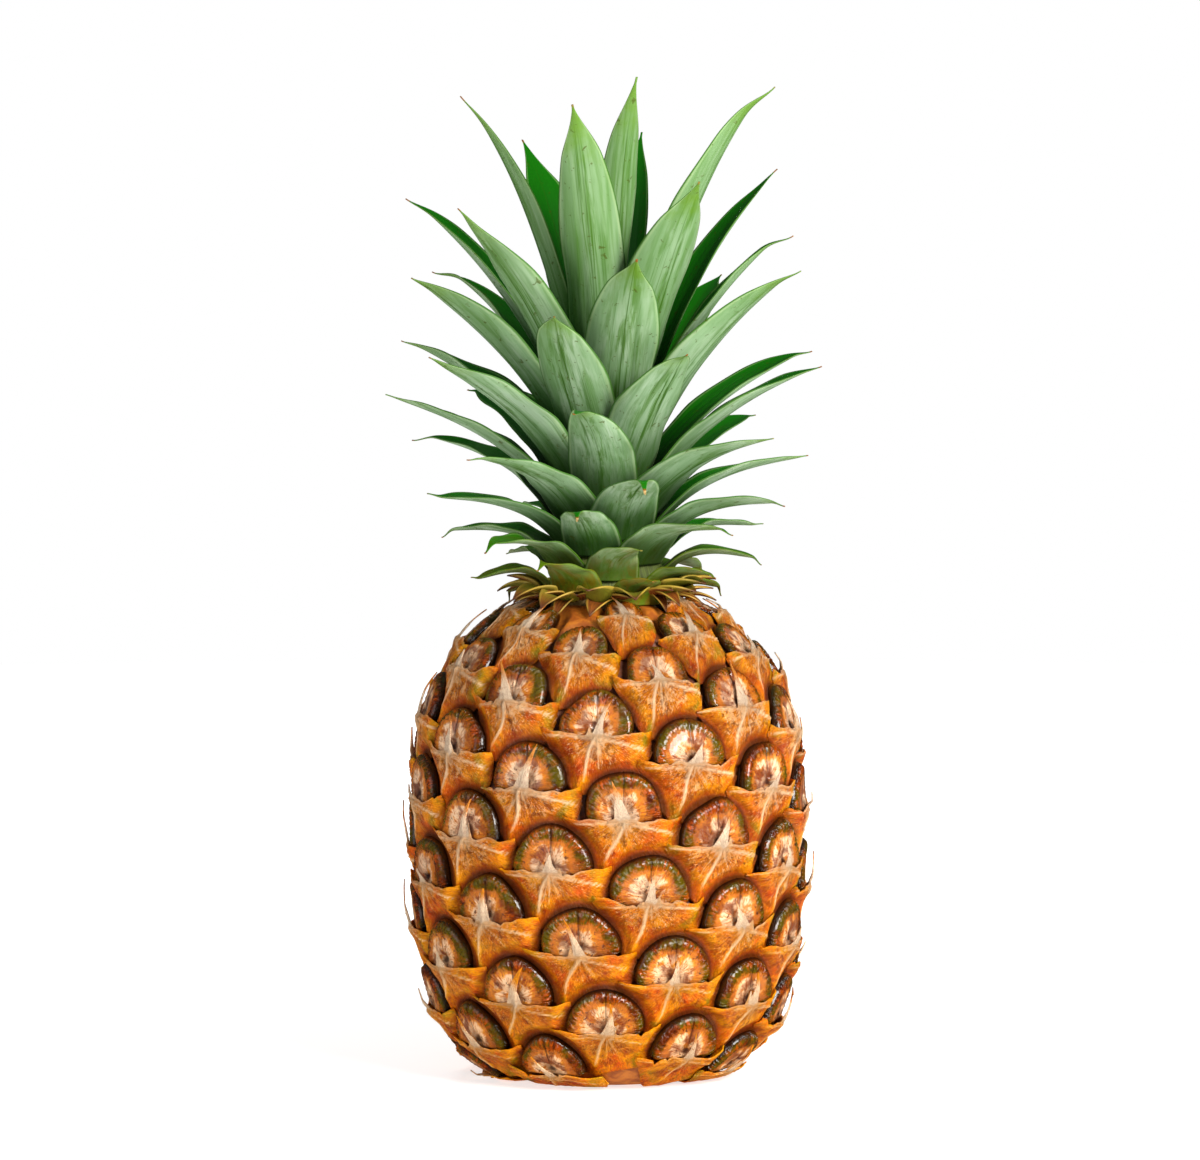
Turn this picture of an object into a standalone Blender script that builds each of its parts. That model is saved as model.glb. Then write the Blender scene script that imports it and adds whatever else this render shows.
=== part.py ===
"""A whole picked pineapple: one fruit with its eyes in spiral rows, its cut stalk, and the crown's leaves on their stem.

The origin is the middle of the flat underside, +Z is up, and azimuth 0 faces -Y, with +X at azimuth 90 degrees.
"""

import math

import bmesh
import bpy
import numpy as np
from mathutils import Vector

MM = 0.001
GAP = 0.3 * MM

# The fruit's skin, as (radius, height) from the rim of the underside to the rim of the crown's seat.
SKIN_OUTLINE = (
    (33.0 * MM, 0.0 * MM),
    (45.0 * MM, 7.5 * MM),
    (53.0 * MM, 19.0 * MM),
    (58.3 * MM, 38.0 * MM),
    (60.6 * MM, 62.0 * MM),
    (60.6 * MM, 88.0 * MM),
    (58.2 * MM, 112.0 * MM),
    (50.5 * MM, 130.0 * MM),
    (38.5 * MM, 142.5 * MM),
    (26.0 * MM, 149.0 * MM),
)
SKIN_RINGS = 31
SKIN_SIDES = 66
WIDEST_SKIN = 60.6 * MM

# Each eye follows the last by a fixed turn and a fixed step down the skin.
EYE_COUNT = 92
FIRST_EYE_AZIMUTH = math.radians(9.4)
FIRST_EYE_DEPTH = 1.5 * MM
EYE_TURN = math.radians(77.7)
EYE_STEP = 1.82 * MM
EYE_HALF_WIDTH = 13.2 * MM
EYE_HALF_HEIGHT = 8.4 * MM
EYE_RISE = 3.0 * MM
BRACT_RISE = 2.6 * MM

# The cut stalk sits in a recess in the underside, flush with it.
STALK_RADIUS = 12.5 * MM
STALK_LENGTH = 7.0 * MM

# The crown's stem stands on the crown's seat.
CROWN_SEAT = 149.0 * MM
STEM_HEIGHT = 58.0 * MM
STEM_FOOT_RADIUS = 22.0 * MM
STEM_TOP_RADIUS = 2.6 * MM
STEM_TAPER = 1.15

# The crown's leaves, numbered from the lowest. Each curve reads (share of the way up the crown, value).
LEAF_COUNT = 57
LEAF_TURN = math.radians(-137.5)
FRONT_LEAF = 42
FRONT_LEAF_AZIMUTH = math.radians(7.7)
LEAF_THICKNESS = 0.9 * MM
LEAF_FOOT_HEIGHT = ((0.0, 1.6 * MM), (1.0, 55.0 * MM))
LEAF_TIP_HEIGHT = (
    (0.0, 2.0 * MM),
    (0.10, 8.0 * MM),
    (0.20, 17.0 * MM),
    (0.33, 34.0 * MM),
    (0.50, 61.0 * MM),
    (0.65, 89.0 * MM),
    (0.77, 115.0 * MM),
    (0.85, 134.0 * MM),
    (0.92, 155.0 * MM),
    (1.0, 169.0 * MM),
)
LEAF_TIP_RADIUS = (
    (0.0, 37.0 * MM),
    (0.10, 43.0 * MM),
    (0.20, 52.0 * MM),
    (0.33, 61.0 * MM),
    (0.50, 71.0 * MM),
    (0.65, 70.0 * MM),
    (0.77, 66.0 * MM),
    (0.85, 61.0 * MM),
    (0.92, 54.0 * MM),
    (0.96, 34.0 * MM),
    (1.0, 9.0 * MM),
)
LEAF_HALF_WIDTH = (
    (0.0, 9.0 * MM),
    (0.15, 10.5 * MM),
    (0.30, 12.0 * MM),
    (0.50, 13.0 * MM),
    (0.75, 13.5 * MM),
    (0.90, 13.0 * MM),
    (1.0, 8.0 * MM),
)
LEAF_STEEPER_AT_FOOT = ((0.0, 56.0), (0.12, 50.0), (0.25, 38.0), (0.5, 26.0), (0.85, 14.0), (1.0, 3.0))
NO_LEAN = (0.0, 0.0, 0.0, 1.0)
# How single leaves differ: (degrees that the tip is turned, tip further out, tip higher, share of the breadth).
LEAF_LEANS = {
    0: (0.0, -2.0 * MM, 9.0 * MM, 1.00),
    3: (0.0, -2.0 * MM, 10.0 * MM, 1.00),
    5: (0.0, -2.0 * MM, 3.0 * MM, 1.00),
    8: (10.0, -12.0 * MM, 8.0 * MM, 0.90),
    11: (0.0, -1.0 * MM, 4.8 * MM, 0.89),
    13: (8.0, 0.0 * MM, 5.0 * MM, 1.00),
    16: (2.2, -11.9 * MM, 5.2 * MM, 0.91),
    21: (-4.3, -14.6 * MM, 3.4 * MM, 0.97),
    22: (10.0, 4.0 * MM, 10.0 * MM, 0.90),
    24: (-5.2, 0.0 * MM, -1.7 * MM, 0.97),
    27: (0.0, 0.0 * MM, 8.0 * MM, 1.00),
    29: (-8.0, -20.0 * MM, 1.0 * MM, 0.95),
    31: (-6.4, -4.5 * MM, 4.5 * MM, 0.86),
    32: (0.0, -8.2 * MM, 5.2 * MM, 0.89),
    34: (1.0, -12.0 * MM, 3.0 * MM, 0.97),
    36: (0.0, 1.3 * MM, -3.9 * MM, 0.71),
    37: (4.0, -12.0 * MM, 1.0 * MM, 0.97),
    39: (0.0, 0.0 * MM, 8.0 * MM, 1.00),
    40: (5.0, -6.0 * MM, 0.0 * MM, 1.00),
    42: (0.0, -6.4 * MM, -0.8 * MM, 0.94),
    43: (16.0, 0.0 * MM, -7.0 * MM, 0.90),
    44: (0.0, -6.0 * MM, 1.2 * MM, 0.68),
    45: (0.0, 0.0 * MM, 0.0 * MM, 0.89),
    46: (4.2, 0.0 * MM, 8.9 * MM, 0.71),
    47: (-6.5, -11.0 * MM, 3.0 * MM, 1.00),
    48: (0.0, 5.0 * MM, -8.0 * MM, 0.85),
    49: (0.0, 6.0 * MM, -4.7 * MM, 0.62),
    50: (-3.0, -1.0 * MM, 14.0 * MM, 0.90),
    51: (0.0, 3.0 * MM, -5.0 * MM, 0.90),
    52: (0.0, 2.0 * MM, 8.0 * MM, 0.95),
    53: (0.0, 8.4 * MM, -0.9 * MM, 0.62),
    54: (0.0, 0.0 * MM, -12.0 * MM, 1.00),
    55: (0.0, 5.0 * MM, 1.0 * MM, 1.00),
    56: (0.0, -3.0 * MM, -25.0 * MM, 1.00),
}
LEAF_CHANNEL = 0.22
LEAF_WRAP = math.radians(41.0)
LEAF_TAPER_SHARE = 0.52
LEAF_TAPER_POWER = 1.9
LEAF_TIP_HALF_WIDTH = 0.5 * MM
LEAF_ROWS = 6
LEAF_COLUMNS = 4
LEAF_SEED = 10

COLOURS = {
    "rind": ((0.62, 0.27, 0.05), 0.42),
    "cut_stalk": ((0.55, 0.42, 0.22), 0.8),
    "stem": ((0.62, 0.62, 0.38), 0.7),
    "leaf": ((0.22, 0.36, 0.21), 0.5),
}


def clear_scene():
    for old in list(bpy.data.objects):
        bpy.data.objects.remove(old)


def collection_named(name):
    made = bpy.data.collections.new(name)
    bpy.context.scene.collection.children.link(made)
    return made


def material_named(name):
    colour, roughness = COLOURS[name]
    made = bpy.data.materials.new(name)
    made.use_nodes = True
    shader = made.node_tree.nodes["Principled BSDF"]
    shader.inputs["Base Color"].default_value = (*colour, 1.0)
    shader.inputs["Roughness"].default_value = roughness
    shader.inputs["Metallic"].default_value = 0.0
    return made


def read_curve(curve, share):
    """The value of a curve given as (share, value) pairs."""
    shares, values = zip(*curve)
    return float(np.interp(share, shares, values))


def smooth_line(points, per_span=40):
    """A Catmull-Rom line through the points, as an array of (radius, height)."""
    known = np.array(points)
    known = np.vstack([2 * known[0] - known[1], known, 2 * known[-1] - known[-2]])
    t = np.linspace(0, 1, per_span, endpoint=False)[:, None]
    spans = []
    for a, b, c, d in zip(known, known[1:], known[2:], known[3:]):
        spans.append(
            0.5 * (2 * b + (c - a) * t + (2 * a - 5 * b + 4 * c - d) * t**2 + (3 * b - a - 3 * c + d) * t**3)
        )
    return np.vstack([*spans, known[-2:-1]])


class Skin:
    """The fruit's smooth skin, read by depth: the distance down the skin from the crown's seat."""

    def __init__(self):
        line = smooth_line(SKIN_OUTLINE)[::-1]
        steps = np.hypot(*np.diff(line, axis=0).T)
        self.radii, self.heights = line.T
        self.depths = np.concatenate([[0.0], np.cumsum(steps)])
        self.length = self.depths[-1]

    def at(self, depth):
        """(radius, height) at a depth."""
        return np.interp(depth, self.depths, self.radii), np.interp(depth, self.depths, self.heights)

    def depth_at(self, height):
        return np.interp(-np.asarray(height), -self.heights, self.depths)

    def outward(self, depth):
        """The unit normal at a depth, as (radial part, upward part)."""
        step = 0.5 * MM
        r0, z0 = self.at(depth - step)
        r1, z1 = self.at(depth + step)
        along_r, along_z = r1 - r0, z1 - z0
        size = np.hypot(along_r, along_z)
        return -along_z / size, along_r / size


def eye_relief(skin, azimuth, depth):
    """How far the rind stands out of the smooth skin: a cushion for each eye, with its bract's swelling below it."""
    azimuth, depth = azimuth[:, None], depth[:, None]
    number = np.arange(EYE_COUNT)[None, :]
    eye_depth = FIRST_EYE_DEPTH + EYE_STEP * number
    across = azimuth - FIRST_EYE_AZIMUTH - EYE_TURN * number
    across = (across + math.pi) % (2 * math.pi) - math.pi
    radius, _ = skin.at(depth)
    scale = (skin.at(eye_depth)[0] / WIDEST_SKIN) ** 0.8
    across = across * radius / scale
    up = (eye_depth - depth) / scale
    reach = (across / EYE_HALF_WIDTH) ** 2 + (up / EYE_HALF_HEIGHT) ** 2
    cushion = EYE_RISE * np.sqrt(np.clip(1 - reach**2, 0, 1))
    low = (across / (0.75 * EYE_HALF_WIDTH)) ** 2 + ((up + 1.5 * EYE_HALF_HEIGHT) / (0.6 * EYE_HALF_HEIGHT)) ** 2
    bract = BRACT_RISE * np.exp(-low)
    edge = np.clip(np.minimum(depth[:, 0], skin.length - depth[:, 0]) / (6 * MM), 0, 1)
    return np.maximum(cushion, bract).max(axis=1) * edge


def turned(name, outline, sides, collection, material):
    """A closed turned solid from an outline that runs down its outer side, as (radius, height)."""
    mesh = bpy.data.meshes.new(name)
    mesh.from_pydata([(r, 0, z) for r, z in outline], [(i, i + 1) for i in range(len(outline) - 1)], [])
    guide = bpy.data.objects.new(name + "_outline", mesh)
    bpy.context.scene.collection.objects.link(guide)
    screw = guide.modifiers.new("turn", "SCREW")
    screw.axis = "Z"
    screw.steps = screw.render_steps = sides
    screw.use_merge_vertices = True
    screw.merge_threshold = 0.00001
    graph = bpy.context.evaluated_depsgraph_get()
    solid = bpy.data.meshes.new_from_object(guide.evaluated_get(graph))
    bpy.data.objects.remove(guide)
    solid.name = name
    solid.materials.append(material)
    solid.shade_smooth()
    made = bpy.data.objects.new(name, solid)
    collection.objects.link(made)
    return made


def fruit_body(skin, collection, material):
    """The fruit, with a flat underside that it stands on and a round recess there for the stalk."""
    depths = np.linspace(0, skin.length, SKIN_RINGS)
    radii, heights = skin.at(depths)
    recess = STALK_RADIUS + GAP
    outline = [(0.0, CROWN_SEAT)]
    outline += list(zip(radii.tolist(), heights.tolist()))
    outline += [(recess, 0.0), (recess, STALK_LENGTH + GAP), (0.0, STALK_LENGTH + GAP)]
    body = turned("fruit_body", outline, SKIN_SIDES, collection, material)
    places = np.array([v.co for v in body.data.vertices])
    radius = np.hypot(places[:, 0], places[:, 1])
    azimuth = np.arctan2(places[:, 0], -places[:, 1])
    depth = skin.depth_at(places[:, 2])
    on_skin = (places[:, 2] > 0.1 * MM) & (places[:, 2] < CROWN_SEAT - 0.1 * MM) & (radius > recess + MM)
    relief = np.where(on_skin, eye_relief(skin, azimuth, depth), 0.0)
    out_r, out_z = skin.outward(depth)
    places[:, 0] += relief * out_r * np.sin(azimuth)
    places[:, 1] -= relief * out_r * np.cos(azimuth)
    places[:, 2] += relief * out_z
    for vertex, place in zip(body.data.vertices, places):
        vertex.co = place
    return body


def stalk_stub(collection, material):
    """What is left of the stalk, cut off level with the underside."""
    outline = [(0.0, STALK_LENGTH), (STALK_RADIUS, STALK_LENGTH), (STALK_RADIUS, 0.0), (0.0, 0.0)]
    return turned("stalk_stub", outline, 32, collection, material)


def stem_radius(height):
    """The crown stem's radius at a height above the crown's seat."""
    share = np.clip(height / STEM_HEIGHT, 0, 1)
    return STEM_TOP_RADIUS + (STEM_FOOT_RADIUS - STEM_TOP_RADIUS) * (1 - share) ** STEM_TAPER


def crown_stem(collection, material):
    """The short tapered stem that the crown's leaves grow from."""
    heights = np.linspace(STEM_HEIGHT, GAP, 9)
    outline = [(0.0, CROWN_SEAT + STEM_HEIGHT)]
    outline += [(float(stem_radius(h)), CROWN_SEAT + float(h)) for h in heights]
    outline += [(0.0, CROWN_SEAT + GAP)]
    return turned("crown_stem", outline, 32, collection, material)


def leaf_line(number, chance):
    """The leaf's middle line as a function of the share of its length: (radius, height above the seat, steepness)."""
    share = number / (LEAF_COUNT - 1)
    foot_height = read_curve(LEAF_FOOT_HEIGHT, share)
    foot = Vector((stem_radius(foot_height) + GAP + LEAF_THICKNESS, foot_height))
    tip = Vector((read_curve(LEAF_TIP_RADIUS, share), read_curve(LEAF_TIP_HEIGHT, share)))
    tip += Vector((chance.uniform(-3.5, 3.5), chance.uniform(-3.0, 3.0))) * MM * min(1.0, 0.3 + share)
    _, out, up, _ = LEAF_LEANS.get(number, NO_LEAN)
    tip = tip + Vector((out, up))
    chord = tip - foot
    steeper = math.radians(read_curve(LEAF_STEEPER_AT_FOOT, share))
    lift = Vector((-math.sin(steeper), math.cos(steeper)))
    ahead = chord.normalized()
    side = Vector((-ahead.y, ahead.x))
    first = foot + chord.length * 0.38 * (ahead * lift.y + side * -lift.x)
    second = foot + chord.length * (0.72 * ahead + 0.10 * side)

    def at(s):
        s = np.asarray(s, float)[..., None]
        a, b, c, d = (np.array(p) for p in (foot, first, second, tip))
        place = a * (1 - s) ** 3 + 3 * b * s * (1 - s) ** 2 + 3 * c * s**2 * (1 - s) + d * s**3
        slope = 3 * (b - a) * (1 - s) ** 2 + 6 * (c - b) * s * (1 - s) + 3 * (d - c) * s**2
        return place[..., 0], place[..., 1], np.arctan2(slope[..., 1], slope[..., 0])

    return at, share


def leaf_places(number, along, across, chance):
    """Points of a leaf facing azimuth 0. along runs 0 to 1 from foot to tip, across -1 to 1 from edge to edge."""
    line, share = leaf_line(number, chance)
    radius, height, steepness = line(along)
    lean, _, _, breadth = LEAF_LEANS.get(number, NO_LEAN)
    widest = read_curve(LEAF_HALF_WIDTH, share) * chance.uniform(0.94, 1.06) * breadth
    to_tip = np.clip((1 - along) / LEAF_TAPER_SHARE, 0, 1)
    half_width = widest * (1 - (1 - to_tip) ** LEAF_TAPER_POWER)
    half_width = np.maximum(np.minimum(half_width, radius * LEAF_WRAP * breadth), LEAF_TIP_HALF_WIDTH)
    twist = chance.uniform(-0.35, 0.35) * along**2
    sway = math.radians(chance.uniform(-5, 5) + lean) * along**2
    offset = half_width * across
    channel = LEAF_CHANNEL * half_width * across**2 * np.clip((along - 0.12) / 0.3, 0, 1)
    turn = offset * np.cos(twist) / radius + sway
    inward = channel + offset * np.sin(twist)
    radius = radius - inward * np.sin(steepness)
    height = height + inward * np.cos(steepness)
    return np.stack([radius * np.sin(turn), -radius * np.cos(turn), height], axis=-1)


def crown_leaf(number, parent, collection, material):
    """One leaf: a flat grid shaped to the leaf's channel, then given its thickness."""
    chance = np.random.default_rng(LEAF_SEED + number)
    sheet = bmesh.new()
    bmesh.ops.create_grid(sheet, x_segments=LEAF_COLUMNS, y_segments=LEAF_ROWS, size=1.0)
    sheet.verts.ensure_lookup_table()
    flat = np.array([v.co for v in sheet.verts])
    places = leaf_places(number, (flat[:, 1] + 1) / 2, flat[:, 0], chance)
    for vertex, place in zip(sheet.verts, places):
        vertex.co = place
    mesh = bpy.data.meshes.new(f"leaf_{number + 1:02d}")
    sheet.to_mesh(mesh)
    sheet.free()
    mesh.materials.append(material)
    mesh.shade_smooth()
    leaf = bpy.data.objects.new(mesh.name, mesh)
    collection.objects.link(leaf)
    leaf.parent = parent
    leaf.rotation_euler.z = FRONT_LEAF_AZIMUTH + LEAF_TURN * (number - FRONT_LEAF)
    solid = leaf.modifiers.new("thickness", "SOLIDIFY")
    solid.thickness = LEAF_THICKNESS
    solid.offset = 0.0
    return leaf


def main():
    clear_scene()
    collection = collection_named("pineapple")
    materials = {name: material_named(name) for name in COLOURS}
    skin = Skin()
    fruit_body(skin, collection, materials["rind"])
    stalk_stub(collection, materials["cut_stalk"])
    crown_stem(collection, materials["stem"])
    crown = bpy.data.objects.new("crown", None)
    crown.location.z = CROWN_SEAT
    collection.objects.link(crown)
    for number in range(LEAF_COUNT):
        crown_leaf(number, crown, collection, materials["leaf"])


main()
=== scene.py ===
"""The looks of a whole ripe pineapple: its rind of eyes and papery bracts, its crown and its cut stalk."""

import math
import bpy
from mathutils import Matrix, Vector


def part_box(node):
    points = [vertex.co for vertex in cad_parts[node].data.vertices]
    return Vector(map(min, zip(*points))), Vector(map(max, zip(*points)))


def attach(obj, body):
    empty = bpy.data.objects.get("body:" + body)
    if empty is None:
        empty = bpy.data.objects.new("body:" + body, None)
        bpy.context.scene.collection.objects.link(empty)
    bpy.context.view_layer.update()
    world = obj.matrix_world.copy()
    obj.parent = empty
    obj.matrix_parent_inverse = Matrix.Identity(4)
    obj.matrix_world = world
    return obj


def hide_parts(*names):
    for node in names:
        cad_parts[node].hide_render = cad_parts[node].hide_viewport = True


bl_info = {
    "name": "Whole Pineapple",
    "version": (1, 0, 0),
    "blender": (4, 5, 0),
    "location": "View3D > Sidebar > Pineapple",
    "description": "Builds the rind, bracts, crown and stalk of a pineapple around its packed frame",
    "category": "Add Mesh",
}

import bpy
import numpy as np
from bpy.props import FloatProperty, FloatVectorProperty, IntProperty, PointerProperty
from mathutils import Vector

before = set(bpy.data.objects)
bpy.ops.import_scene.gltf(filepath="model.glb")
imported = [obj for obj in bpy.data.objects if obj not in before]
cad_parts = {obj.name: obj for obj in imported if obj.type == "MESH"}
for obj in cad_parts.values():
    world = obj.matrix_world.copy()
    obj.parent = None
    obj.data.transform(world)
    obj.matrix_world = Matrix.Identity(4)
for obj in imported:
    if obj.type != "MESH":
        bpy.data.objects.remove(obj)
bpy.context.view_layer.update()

MM = 0.001
CROWN_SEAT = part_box("crown_stem")[0].z
STEM_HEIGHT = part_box("crown_stem")[1].z - CROWN_SEAT
STALK_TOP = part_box("stalk_stub")[1].z
STALK_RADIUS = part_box("stalk_stub")[1].x

# The smooth skin under the eyes, as (radius, height): up the side, then in over the seat of the crown.
SKIN_OUTLINE = (
    (20.0 * MM, 0.4 * MM),
    (33.0 * MM, 0.4 * MM),
    (45.0 * MM, 7.5 * MM),
    (53.0 * MM, 19.0 * MM),
    (58.3 * MM, 38.0 * MM),
    (60.6 * MM, 62.0 * MM),
    (60.6 * MM, 88.0 * MM),
    (58.2 * MM, 112.0 * MM),
    (50.5 * MM, 130.0 * MM),
    (38.5 * MM, 142.5 * MM),
    (26.0 * MM, 149.0 * MM),
    (17.0 * MM, 151.0 * MM),
)
WIDEST_SKIN = max(radius for radius, _ in SKIN_OUTLINE)
SEAT_RIM_RADIUS = 26.0 * MM
# Eyes and bracts stay this far over the floor.
FLOOR_GAP = 0.5 * MM

# Each eye follows the last by a fixed turn and a fixed step down the skin.
FIRST_EYE = -4
LAST_EYE = 87
FIRST_EYE_AZIMUTH = math.radians(9.4)
FIRST_EYE_DEPTH = 1.5 * MM
EYE_TURN = math.radians(77.7)
EYE_STEP = 1.82 * MM
EYE_SEED = 5
BRACT_SEED = 23
FOOT_BRACT_SEED = 700
# How far an eye's cushion reaches below its fan's root.
FAN_FOOT = 6.0 * MM
# The share of an eye's pattern that is its cushion. The rest closes it underneath.
CUSHION_SHARE = 0.8
# The length that the marks of an eye's material are counted in.
SPOT_SIZE = 13 * MM
# Eyes are laid as if the skin were never narrower than this.
LEAST_RADIUS = 20 * MM
# Shares of the skin's rings that close the crown's seat and the recess round the stalk.
SEAT_SHARE = 0.03
RECESS_SHARE = 0.07

# Lift of an eye's cushion, from its middle to its edge, as (share of the way out, lift).
CUSHION = (
    (0.0, 1.5 * MM),
    (0.10, 1.75 * MM),
    (0.25, 2.3 * MM),
    (0.45, 2.6 * MM),
    (0.60, 2.5 * MM),
    (0.68, 2.6 * MM),
    (0.77, 2.85 * MM),
    (0.85, 2.5 * MM),
    (0.91, 1.7 * MM),
    (0.96, 0.6 * MM),
    (1.0, -1.0 * MM),
)
# A bract's free edge and the root of its spike lie below the middle of its eye.
BRACT_EDGE = -7.4 * MM
SPIKE_ROOT = 7.0 * MM
# The share of a bract's grid that is its body. The rest is drawn up into the spike.
BODY_SHARE = 0.62
# Nothing stands further over the skin than this.
MOST_LIFT = 5.2 * MM
# The lower margin of a bract, as (across, up) from the middle of its eye.
BRACT_HALF_WIDTH = 18.2 * MM
BRACT_MARGIN = (
    (-18.2 * MM, -7.2 * MM),
    (-16.3 * MM, -10.5 * MM),
    (-13.4 * MM, -15.5 * MM),
    (-10.5 * MM, -21.5 * MM),
    (-7.0 * MM, -25.5 * MM),
    (-3.0 * MM, -25.0 * MM),
    (2.0 * MM, -22.5 * MM),
    (8.3 * MM, -21.0 * MM),
    (13.0 * MM, -20.5 * MM),
    (16.5 * MM, -17.0 * MM),
    (18.2 * MM, -12.0 * MM),
)

# The crown's leaves, numbered from the lowest. Each curve reads (share of the way up the crown, value).
LEAF_COUNT = 57
LEAF_TURN = math.radians(-137.5)
FRONT_LEAF = 42
FRONT_LEAF_AZIMUTH = math.radians(7.7)
STEM_FOOT_RADIUS = 22.0 * MM
STEM_TOP_RADIUS = 2.6 * MM
STEM_TAPER = 1.15
LEAF_GAP = 1.2 * MM
LEAF_SEED = 10
LEAF_FOOT_HEIGHT = ((0.0, 1.6 * MM), (1.0, 55.0 * MM))
LEAF_TIP_HEIGHT = (
    (0.0, 2.0 * MM),
    (0.10, 8.0 * MM),
    (0.20, 17.0 * MM),
    (0.33, 34.0 * MM),
    (0.50, 61.0 * MM),
    (0.65, 89.0 * MM),
    (0.77, 115.0 * MM),
    (0.85, 134.0 * MM),
    (0.92, 155.0 * MM),
    (1.0, 169.0 * MM),
)
LEAF_TIP_RADIUS = (
    (0.0, 37.0 * MM),
    (0.10, 43.0 * MM),
    (0.20, 52.0 * MM),
    (0.33, 61.0 * MM),
    (0.50, 71.0 * MM),
    (0.65, 70.0 * MM),
    (0.77, 66.0 * MM),
    (0.85, 61.0 * MM),
    (0.92, 54.0 * MM),
    (0.96, 34.0 * MM),
    (1.0, 9.0 * MM),
)
LEAF_HALF_WIDTH = (
    (0.0, 9.0 * MM),
    (0.15, 10.5 * MM),
    (0.30, 12.0 * MM),
    (0.50, 13.0 * MM),
    (0.75, 13.5 * MM),
    (0.90, 13.0 * MM),
    (1.0, 8.0 * MM),
)
LEAF_STEEPER_AT_FOOT = ((0.0, 56.0), (0.12, 50.0), (0.25, 38.0), (0.5, 26.0), (0.85, 14.0), (1.0, 3.0))
NO_LEAN = (0.0, 0.0, 0.0, 1.0)
# How single leaves differ: (degrees that the tip is turned, tip further out, tip higher,
# share of the breadth).
LEAF_LEANS = {
    0: (0.0, -2.0 * MM, 9.0 * MM, 1.00),
    3: (0.0, -2.0 * MM, 10.0 * MM, 1.00),
    5: (0.0, -2.0 * MM, 3.0 * MM, 1.00),
    8: (10.0, -12.0 * MM, 8.0 * MM, 0.90),
    11: (0.0, -1.0 * MM, 4.8 * MM, 0.89),
    13: (8.0, 0.0 * MM, 5.0 * MM, 1.00),
    16: (2.2, -11.9 * MM, 5.2 * MM, 0.91),
    21: (-4.3, -14.6 * MM, 3.4 * MM, 0.97),
    22: (10.0, 4.0 * MM, 10.0 * MM, 0.90),
    24: (-5.2, 0.0 * MM, -1.7 * MM, 0.97),
    27: (0.0, 0.0 * MM, 8.0 * MM, 1.00),
    29: (-8.0, -20.0 * MM, 1.0 * MM, 0.95),
    31: (-6.4, -4.5 * MM, 4.5 * MM, 0.86),
    32: (0.0, -8.2 * MM, 5.2 * MM, 0.89),
    34: (1.0, -12.0 * MM, 3.0 * MM, 0.97),
    36: (0.0, 1.3 * MM, -3.9 * MM, 0.71),
    37: (4.0, -12.0 * MM, 1.0 * MM, 0.97),
    39: (0.0, 0.0 * MM, 8.0 * MM, 1.00),
    40: (5.0, -6.0 * MM, 0.0 * MM, 1.00),
    42: (0.0, -6.4 * MM, -0.8 * MM, 0.94),
    43: (16.0, 0.0 * MM, -7.0 * MM, 0.90),
    44: (0.0, -6.0 * MM, 1.2 * MM, 0.68),
    45: (0.0, 0.0 * MM, 0.0 * MM, 0.89),
    46: (4.2, 0.0 * MM, 8.9 * MM, 0.71),
    47: (-6.5, -11.0 * MM, 3.0 * MM, 1.00),
    48: (0.0, 5.0 * MM, -8.0 * MM, 0.85),
    49: (0.0, 6.0 * MM, -4.7 * MM, 0.62),
    50: (-3.0, -1.0 * MM, 14.0 * MM, 0.90),
    51: (0.0, 3.0 * MM, -5.0 * MM, 0.90),
    52: (0.0, 2.0 * MM, 8.0 * MM, 0.95),
    53: (0.0, 8.4 * MM, -0.9 * MM, 0.62),
    54: (0.0, 0.0 * MM, -12.0 * MM, 1.00),
    55: (0.0, 5.0 * MM, 1.0 * MM, 1.00),
    56: (0.0, -3.0 * MM, -25.0 * MM, 1.00),
}
LEAF_CHANNEL = 0.22
LEAF_WRAP = math.radians(41.0)
LEAF_TAPER_SHARE = 0.52
LEAF_TAPER_POWER = 1.9
LEAF_TIP_HALF_WIDTH = 0.35 * MM
# Leaves whose tips were trimmed, by number, with the share of the leaf that is left.
TRIMMED_LEAVES = {21: 0.985, 16: 0.985}
# Points across a trimmed tip that are torn to different lengths.
LEAF_TATTERS = 64
# The small dry leaves round the crown's foot.
FOOT_BRACTS = 42

# The lamps, in m. Each one looks at the middle of the pineapple.
LAMP_AIM = (0.0, 0.0, 0.16)
KEY_PLACE = (0.70, -0.84, 0.62)
KEY_SIZE = 0.55
FILL_PLACE = (-0.95, -0.65, 0.45)
FILL_SIZE = 0.8
BACK_PLACE = (-0.25, 1.0, 0.65)
BACK_SIZE = 0.25
FLOOR_RADIUS = 1.6


def srgb(red, green, blue):
    """A colour given as it looks on a screen, 0 to 255, as the linear values that shaders use."""
    shares = [channel / 255.0 for channel in (red, green, blue)]
    return tuple(s / 12.92 if s <= 0.04045 else ((s + 0.055) / 1.055) ** 2.4 for s in shares)


def length_setting(name, description, default, largest):
    return FloatProperty(
        name=name, description=description, default=default, min=0.0, max=largest, unit="LENGTH", precision=4
    )


def colour_setting(name, description, red, green, blue):
    return FloatVectorProperty(
        name=name,
        description=description,
        default=srgb(red, green, blue),
        size=3,
        min=0.0,
        max=1.0,
        subtype="COLOR",
    )


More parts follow.
